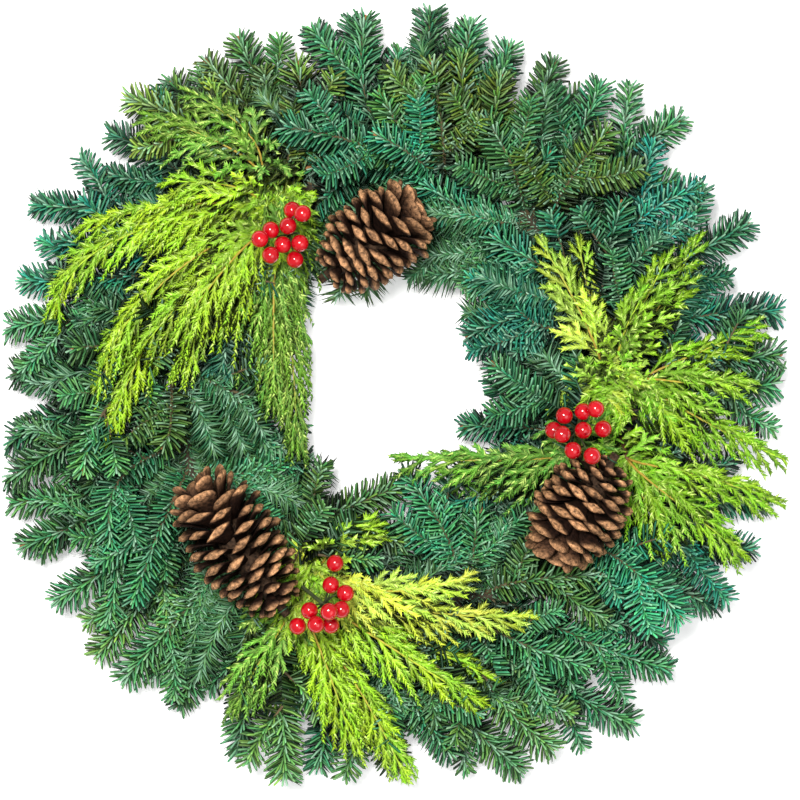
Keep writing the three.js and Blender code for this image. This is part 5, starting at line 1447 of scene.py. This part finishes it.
def cedar_branch(branch, spray):
    shape = Shape()
    stem = closed(rounded(branch.stem, STEM_CUT, STEM_POINTS), STEM_END)
    sweep(shape, stem, CEDAR_STEM_RADIUS, STEM_SIDES, CEDAR_WOOD, BARK_SLOT)
    shares = np.linspace(0, 1, RACHIS_POINTS)
    tints = CEDAR_STEM + (spray.stem_tints[0] - CEDAR_STEM) * shares[:, None] ** 2
    tints = np.concatenate([tints[:1], np.repeat(tints[:-1], RACHIS_SIDES, axis=0), tints[-1:]])
    radii = RACHIS_RADIUS - RACHIS_TAPER * shares[:-1]
    for curve in branch.curves:
        sweep(shape, curve.at(shares), radii, RACHIS_SIDES, tints[None])
    tints = np.array(spray.stem_tints)
    tints = tints + (CEDAR_STEM - tints) * spread(*STRAND_YELLOWING, len(tints))[:, None] ** 2
    widths, heights = (np.linspace(*ends, STRAND_POINTS - 1) for ends in (STRAND_WIDTHS, STRAND_HEIGHTS))
    sweep(shape, spray.stems, widths, **BLADE, tints=tints, heights=heights, rooted=True)
    blades, ups, tints = (np.concatenate(part) for part in (spray.blades, spray.ups, spray.blade_tints))
    bad = in_hole(blades, -HOLE_MARGIN).any(1) | in_fruit(blades[:, 1:], LEAF_FRUIT_MARGIN).any(1)
    good = ~(bad | out_of_reach(blades).any(1))
    # Painted shade: leaves lying deeper below the cedar's tops are darker
    tints = tints * np.interp(depth_under(cedar_tops, blades[:, 1]), *CEDAR_PAINTED_SHADES)[:, None]
    blades, ups, tints = blades[good], ups[good], tints[good]
    sweep(shape, blades, LEAF_WIDTH / 2, **BLADE, tints=tints, heights=LEAF_WIDTH / 3, ups=ups, rooted=True)
    make_piece(branch.name, "sprays", shape, (cedar_material, bark_material))


# Cones: foot, heading, inner side and length of the scales at shares of a cone's length
def scale_places(cone, share, turn):
    body = cone_frame(cone)
    radial = turned(body.left, body.up, turn)
    opening = np.radians(np.interp(share, *SCALE_OPENING))
    heading = turned(body.axis, radial, opening)
    inner = turned(-radial, body.axis, opening)
    core = np.interp(share, *CORE_RADIUS)
    reach = np.interp(share, *CONE_PROFILE) * cone.radius
    long = np.maximum((reach - core) / np.maximum(np.sin(opening), 0.5), SCALE_SHORTEST)
    pull = np.cos(opening) * long * np.interp(share, *SCALE_PULL)
    along = share * body.length * SCALE_SPAN + SCALE_START - pull
    return body.base + body.axis * along[:, None] + radial * core[:, None], heading, inner, long


# Colours of a scale from its foot to its end, for every ring of its mesh, with painted shade on its inner
# part deep in the cone
def scale_tints(count, paleness):
    rings = np.concatenate([paleness[:1], np.repeat(paleness, SCALE_SIDES), paleness[-1:]])[None, :, None]
    pale = SCALE_BROWN * spread(*SCALE_BROWNS, count)[:, None, None]
    dark = SCALE_DARK * spread(*SCALE_DARKS, count)[:, None, None]
    # Painted shade on the inner part of the scale, deep in the cone
    depth = SCALE_PAINTED_SHADE + (1 - SCALE_PAINTED_SHADE) * np.minimum(1, rings * SCALE_PAINTED_SHADE_GAIN)
    return (dark + (pale - dark) * rings) * depth


# Stalk and core, which the scales hide
def cone_core(shape, body):
    stalk = [body.base + body.axis * along for along in (-STALK_LENGTH, -STALK_END, STALK_END)]
    core = [body.base + body.axis * body.length * share for share in CORE_SHARES]
    sweep(shape, [*stalk, *core], CORE_RADII, CORE_SIDES, STALK_BROWN, ups=body.up, mark=0.5)


def cone_piece(number, cone):
    shape = Shape()
    order = np.arange(CONE_SCALES)
    share = ((order + SCALE_OFFSET) / CONE_SCALES) ** SCALE_CROWDING
    feet, heading, inner, long = scale_places(cone, share, order * math.radians(GOLDEN_ANGLE) + number)
    long = long * spread(*SCALE_LENGTHS, CONE_SCALES)
    inner = turned(inner, np.cross(heading, inner), jitter(SCALE_TWIST, CONE_SCALES))
    half = np.interp(share, *SCALE_HALF_WIDTH) * spread(*SCALE_WIDTH_CHANGE, CONE_SCALES)
    thick = np.interp(share, *SCALE_THICKNESS)
    heading = unit(heading + jitter(SCALE_WAVER, CONE_SCALES, 3))
    late = share > LATE_FROM
    for group, (power, fall_share, paleness) in zip((~late, late), SCALE_KINDS):
        reach = SCALE_STEPS[None, :, None] * long[group][:, None, None]
        fall = SCALE_FALL[None, :, None] * (thick[group] / SCALE_FALL_THICKNESS)[:, None, None]
        paths = feet[group][:, None] + heading[group][:, None] * reach
        paths = paths + inner[group][:, None] * fall * fall_share
        tints = scale_tints(group.sum(), paleness)
        sweep(shape, paths, half[group][:, None] * SCALE_WIDTHS, SCALE_SIDES, tints,
              heights=thick[group][:, None] * SCALE_HEIGHTS, ups=inner[group], power=power)
    cone_core(shape, cone_frame(cone))
    make_piece(f"cone_{number + 1}", "scales", shape, (scale_material,))


# Berry on its own stem, with its blossom spot at the far pole
def add_berry(shape, hub, center):
    away = unit(center - hub)
    pole = unit(away * BERRY_FLATTEN + vec(jitter(BERRY_SWAY), jitter(BERRY_SWAY), 0))
    angles = np.linspace(BERRY_CAPS[0], math.pi - BERRY_CAPS[1], BERRY_RINGS)
    rings = center - pole * (np.cos(angles) * BERRY_RADIUS)[:, None]
    path = np.concatenate([rings, rings[-1:] - pole * BERRY_TIP])
    radii, tint = np.sin(angles) * BERRY_RADIUS, BERRY_RED * spread(*BERRY_REDS)
    sweep(shape, path, radii, BERRY_SIDES, tint, ups=unit(np.cross(pole, UP)))
    foot = hub + UP * BERRY_STEM_RISE + away * BERRY_STEM_START
    curve = Curve(hub, foot, center - pole * BERRY_STEM_PULL, center - pole * BERRY_STEM_END)
    radii = BERRY_STEM_RADIUS * BERRY_STEM_TAPER
    path = curve.at(np.linspace(0, 1, BERRY_STEM_POINTS))
    sweep(shape, path, radii, TWIG_SIDES, STEM_GREEN, BARK_SLOT, rooted=True)


def berry_pick(number, stem, centers):
    shape = Shape()
    path = rounded(stem, STEM_CUT, PICK_POINTS)
    path = np.concatenate([path, path[-1:] + UP * PICK_END])
    sweep(shape, path, PICK_STEM_RADIUS, STEM_SIDES, STEM_GREEN, BARK_SLOT)
    for center in centers:
        add_berry(shape, stem[-1], center)
    make_piece(f"berry_pick_{number + 1}", "berries", shape, (berry_material, bark_material))


# Ring and wires
def circle(center, one, other, radius, count=EYE_POINTS):
    return center + radius * turned(one, other, np.linspace(0, 2 * math.pi, count))


def ring_piece():
    shape = Shape()
    for radius in RAIL_RADII:
        path = circle(vec(0, 0, RAIL_HEIGHT), vec(1, 0, 0), vec(0, 1, 0), radius, RAIL_POINTS)
        sweep(shape, closed(path), RAIL_WIRE_RADIUS, RAIL_SIDES, PAINT_GREEN)
    half = CLAMP_THICKNESS / 2
    side = CLAMP_HALF_SPAN - half
    rising = ((side, half), (side, CLAMP_SIDE_HEIGHT - half / 2), (CLAMP_MOUTH, CLAMP_CLOSED_HEIGHT + half))
    profile = [*((-across, height) for across, height in reversed(rising)), *rising]
    for index in range(CLAMP_COUNT):
        out, along = on_circle(1, clamp_bearing(index), 0), along_ring(clamp_bearing(index))
        points = [out * (RING_RADIUS + across) + UP * height for across, height in profile]
        sweep(shape, closed(rounded(points, CLAMP_CUT, CLAMP_POINTS)), half, CLAMP_SIDES, PAINT_GREEN,
              heights=CLAMP_WIDTH / 2, ups=along, power=CLAMP_BOXINESS, turn=math.pi / CLAMP_SIDES)
    make_piece("ring_frame", "painted", shape, (paint_material,))


# Piece of wire along one or more paths, with the side to which each path's cross-section turns
def wire_piece(node, paths):
    shape = Shape()
    for path, up in paths:
        sweep(shape, closed(path), WIRE_RADIUS, WIRE_SIDES, WIRE_GREEN, ups=up)
    make_piece(node, "bright", shape, (wire_material,))


def wire_pieces():
    for number, (_, bearing, _) in enumerate(CEDAR_GROUPS):
        corners = tie_corners(bearing)
        path = rounded([*corners, corners[0]], TIE_CUT, TIE_POINTS)
        wire_piece(f"tie_wire_{number + 1}", [(path, along_ring(bearing))])
    for number, cone in enumerate(CONES):
        body = cone_frame(cone)
        stalk_eye, rail_eye, tail = cone_wire(cone)
        stalk_radius = STALK_RADIUS + SEAT_GAP + WIRE_RADIUS
        rail_radius = RAIL_WIRE_RADIUS + SEAT_GAP + WIRE_RADIUS
        along, out = along_ring(cone.bearing), on_circle(1, cone.bearing, 0)
        top = stalk_eye + unit(tail[0] - stalk_eye) * stalk_radius
        path = rounded([top, tail[1], rail_eye + UP * rail_radius], TAIL_CUT, TAIL_POINTS)
        wire_piece(f"cone_wire_{number + 1}", [
            (circle(stalk_eye, body.left, body.up, stalk_radius), body.axis),
            (circle(rail_eye, UP, out, rail_radius), along),
            (path, unit(body.left + UP * TAIL_TILT)),
        ])


class Nodes:
    """Material whose nodes are added and linked one by one."""

    def __init__(self, name):
        self.material = bpy.data.materials.new(name)
        self.material.use_nodes = True
        self.tree = self.material.node_tree
        self.shader = self.tree.nodes["Principled BSDF"]

    def add(self, kind, inputs=(), **settings):
        node = self.tree.nodes.new(kind)
        for key, value in settings.items():
            setattr(node, key, value)
        for key, value in dict(inputs).items():
            self.feed(node.inputs[key], value)
        return node

    def feed(self, socket, value):
        if hasattr(value, "is_output"):
            self.tree.links.new(value, socket)
        else:
            socket.default_value = value

    def surface(self, inputs):
        for key, value in inputs.items():
            self.feed(self.shader.inputs[key], value)

    # What a mesh keeps at its points
    def attribute(self, name):
        return self.add("ShaderNodeAttribute", attribute_name=name).outputs["Color"]

    # Share along a stalk in red, its mark in green, and how far up a point is on its side in blue
    def place(self):
        return self.add("ShaderNodeSeparateColor", {"Color": self.attribute("place")}).outputs

    def noise(self, scale, detail=2.0):
        place = self.add("ShaderNodeTexCoord").outputs["Object"]
        inputs = {"Vector": place, "Scale": scale, "Detail": detail}
        return self.add("ShaderNodeTexNoise", inputs).outputs["Fac"]

    def ramped(self, value, ends, to_ends):
        keys = ("Value", "From Min", "From Max", "To Min", "To Max")
        return self.add("ShaderNodeMapRange", zip(keys, (value, *ends, *to_ends))).outputs["Result"]

    def varied(self, noise, low, high):
        return self.ramped(noise, NOISE_RANGE, (low, high))

    def scaled(self, color, share):
        inputs = {0: color, "Scale": share}
        return self.add("ShaderNodeVectorMath", inputs, operation="SCALE").outputs["Vector"]

    def mixed(self, share, one, other):
        inputs = {"Factor": share, MIX_ONE: one, MIX_OTHER: other}
        return self.add("ShaderNodeMix", inputs, data_type="RGBA").outputs[MIX_RESULT]

    def combined(self, operation, one, other):
        return self.add("ShaderNodeMath", {0: one, 1: other}, operation=operation).outputs["Value"]

    def bump(self, height, strength, distance=0.0004):
        inputs = {"Height": height, "Strength": strength, "Distance": distance}
        self.surface({"Normal": self.add("ShaderNodeBump", inputs).outputs["Normal"]})


# Leaf: its own tint, darker at the foot, which is painted shade where it meets its stalk, and paler at the
# tip, finely mottled, with another colour underneath
def leaf_material(name, roughness, foot, tip, mottle, scale, under_share, under_color, bump):
    nodes = Nodes(name)
    place = nodes.place()
    fade = nodes.ramped(place["Red"], ends=(0, 1), to_ends=(foot, tip))
    noise = nodes.noise(scale)
    spots = nodes.varied(noise, 1 - mottle, 1 + mottle)
    color = nodes.scaled(nodes.attribute("tint"), nodes.combined("MULTIPLY", fade, spots))
    below = nodes.ramped(place["Blue"], ends=(-1, 0), to_ends=(1, 0))
    nodes.surface({
        "Base Color": nodes.mixed(nodes.combined("MULTIPLY", below, under_share), color, (*under_color, 1)),
        "Roughness": nodes.varied(noise, *roughness),
        "Specular IOR Level": 0.22,
    })
    nodes.bump(nodes.noise(scale * RELIEF_FINENESS), bump)
    return nodes.material


# Plain surface with its own tint, mottled in colour and roughness
def mottled_material(name, scale, detail, mottle, roughness, bump, distance=0.0004, metallic=0):
    nodes = Nodes(name)
    noise = nodes.noise(scale, detail)
    nodes.surface({
        "Base Color": nodes.scaled(nodes.attribute("tint"), nodes.varied(noise, *mottle)),
        "Roughness": nodes.varied(noise, *roughness),
        "Metallic": metallic,
    })
    nodes.bump(noise, bump, distance)
    return nodes.material


# Scale of a cone: rough wood with broad blotches and a fine grain
def make_scale():
    nodes = Nodes("cone_scale_bark")
    coarse = nodes.noise(scale=330, detail=6)
    fine = nodes.noise(scale=1100, detail=3)
    blotches = nodes.ramped(coarse, ends=(0.35, 0.65), to_ends=(0.32, 1.6))
    grain = nodes.varied(fine, low=0.72, high=1.3)
    nodes.surface({
        "Base Color": nodes.scaled(nodes.attribute("tint"), nodes.combined("MULTIPLY", blotches, grain)),
        "Roughness": nodes.varied(fine, low=0.48, high=0.75),
        "Specular IOR Level": 0.15,
    })
    nodes.bump(nodes.combined("ADD", coarse, fine), strength=0.8, distance=0.0015)
    return nodes.material


# Berry: glossy skin with a dark spot at its pole
def make_berry():
    nodes = Nodes("berry_skin")
    noise = nodes.noise(scale=160)
    skin = nodes.scaled(nodes.attribute("tint"), nodes.varied(noise, low=0.88, high=1.12))
    spot = nodes.ramped(nodes.place()["Red"], ends=(0.945, 0.96), to_ends=(0, 1))
    nodes.surface({
        "Base Color": nodes.mixed(spot, skin, (*BERRY_SPOT, 1)),
        "Roughness": nodes.varied(noise, low=0.1, high=0.18),
        "Coat Weight": 0.3,
        "Coat Roughness": 0.12,
    })
    nodes.bump(nodes.noise(scale=500), strength=0.08)
    return nodes.material


# Floor, light and camera
def make_stage():
    mesh = bpy.data.meshes.new("floor")
    corners = [(-1, -1), (1, -1), (1, 1), (-1, 1)]
    mesh.from_pydata([(x * FLOOR_HALF, y * FLOOR_HALF, 0) for x, y in corners], [], [(0, 1, 2, 3)])
    floor = bpy.data.objects.new("floor", mesh)
    nodes = Nodes("floor_paper")
    nodes.surface({
        "Base Color": nodes.scaled(FLOOR_WHITE, nodes.varied(nodes.noise(scale=3), low=0.99, high=1.01)),
        "Roughness": 0.9,
        "Emission Color": (1, 1, 1, 1),
        "Emission Strength": FLOOR_GLOW,
    })
    mesh.materials.append(nodes.material)
    bpy.context.scene.collection.objects.link(floor)


def add_light(name, place, size, power, color):
    data = bpy.data.lights.new(name, "AREA")
    data.shape = "DISK"
    data.size = size
    data.energy = power
    data.color = color
    light = bpy.data.objects.new(name, data)
    light.location = place
    heading = Vector(vec(*LIGHT_TARGET) - vec(*place))
    light.rotation_euler = heading.to_track_quat("-Z", "Y").to_euler()
    bpy.context.scene.collection.objects.link(light)


def make_lights():
    world = bpy.data.worlds.new("studio")
    world.use_nodes = True
    background = world.node_tree.nodes["Background"]
    background.inputs["Color"].default_value = (1, 1, 1, 1)
    background.inputs["Strength"].default_value = WORLD_STRENGTH
    bpy.context.scene.world = world
    for light in LIGHTS:
        add_light(*light)
    view = bpy.context.scene.view_settings
    view.view_transform = "Standard"
    view.look = "None"
    view.exposure = 0
    view.gamma = 1


def make_camera():
    data = bpy.data.cameras.new("camera")
    data.sensor_width = SENSOR_WIDTH / MM
    data.lens = LENS / MM
    data.clip_end = CAMERA_FAR
    camera = bpy.data.objects.new("camera", data)
    distance = PHOTO_SIZE * PHOTO_SCALE * MM * LENS / SENSOR_WIDTH
    x, y = PHOTO_MIDDLE
    camera.location = (x * MM, y * MM, PHOTO_HEIGHT * MM + distance)
    bpy.context.scene.collection.objects.link(camera)
    bpy.context.scene.camera = camera


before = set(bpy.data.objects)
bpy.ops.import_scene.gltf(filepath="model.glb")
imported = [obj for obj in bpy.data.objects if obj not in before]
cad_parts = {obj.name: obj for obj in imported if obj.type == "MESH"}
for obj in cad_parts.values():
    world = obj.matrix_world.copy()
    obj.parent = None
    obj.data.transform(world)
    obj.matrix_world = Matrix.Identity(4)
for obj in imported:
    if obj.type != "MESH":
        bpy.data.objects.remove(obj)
cad_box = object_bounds()

picks, cedar, twigs = place_everything()
all_berries = [center for _, centers in picks for center in centers]
highest_needle = cad_box[1][2] / MM - TOP_MARGIN

needle_material = leaf_material(
    "fir_needle", roughness=(0.36, 0.5), foot=0.62, tip=1.15, mottle=0.16, scale=240,
    under_share=0.35, under_color=(0.06, 0.14, 0.11), bump=0.25)
cedar_material = leaf_material(
    "cedar_scale_leaf", roughness=(0.44, 0.58), foot=0.75, tip=1.15, mottle=0.18, scale=420,
    under_share=0.25, under_color=(0.16, 0.3, 0.06), bump=0.5)
bark_material = mottled_material(
    "twig_bark", scale=420, detail=6, mottle=(0.55, 1.4), roughness=(0.7, 0.92), bump=0.7, distance=0.001)
paint_material = mottled_material(
    "ring_paint", scale=320, detail=5, mottle=(0.8, 1.2), roughness=(0.35, 0.6), bump=0.2, metallic=0.35)
wire_material = mottled_material(
    "wire_enamel", scale=320, detail=5, mottle=(0.75, 1.25), roughness=(0.3, 0.55), bump=0.2, metallic=0.5)
scale_material = make_scale()
berry_material = make_berry()

ring_piece()
wire_pieces()
for number, cone in enumerate(CONES):
    cone_piece(number, cone)
for number, (stem, centers) in enumerate(picks):
    berry_pick(number, stem, centers)

# Cedar is grown first and made into pieces once the height of its tops is known
sprays = [cedar_spray(branch) for branch in cedar]
blades = np.concatenate([blade for spray in sprays for blade in spray.blades])
cedar_tops, cedar_hits = map_tops(blades.mean(1))
covered = cedar_hits >= TOP_MAP_LEAST
cedar_cover = np.where(covered & (cedar_tops > COVER_HEIGHT), cedar_tops, math.inf)
clear_stems(cedar_cover, [branch.stem for branch in cedar])
for branch, spray in zip(cedar, sprays):
    cedar_branch(branch, spray)

# Fir fills what the cedar leaves free, and gets painted shade from both
shoots = [side_shoots(twig.curve, order) for order, twig in enumerate(twigs)]
fir_tops = map_twigs([twig.curve for twig in twigs] + sum(shoots, []))
fir_tops = np.maximum(fir_tops, np.where(covered, cedar_tops + CEDAR_PAINTED_SHADE_HEIGHT, 0))
for index in range(CLAMP_COUNT):
    fir_bunch(index, [(twig, own) for twig, own in zip(twigs, shoots) if twig.bunch == index])

make_stage()
make_lights()
make_camera()
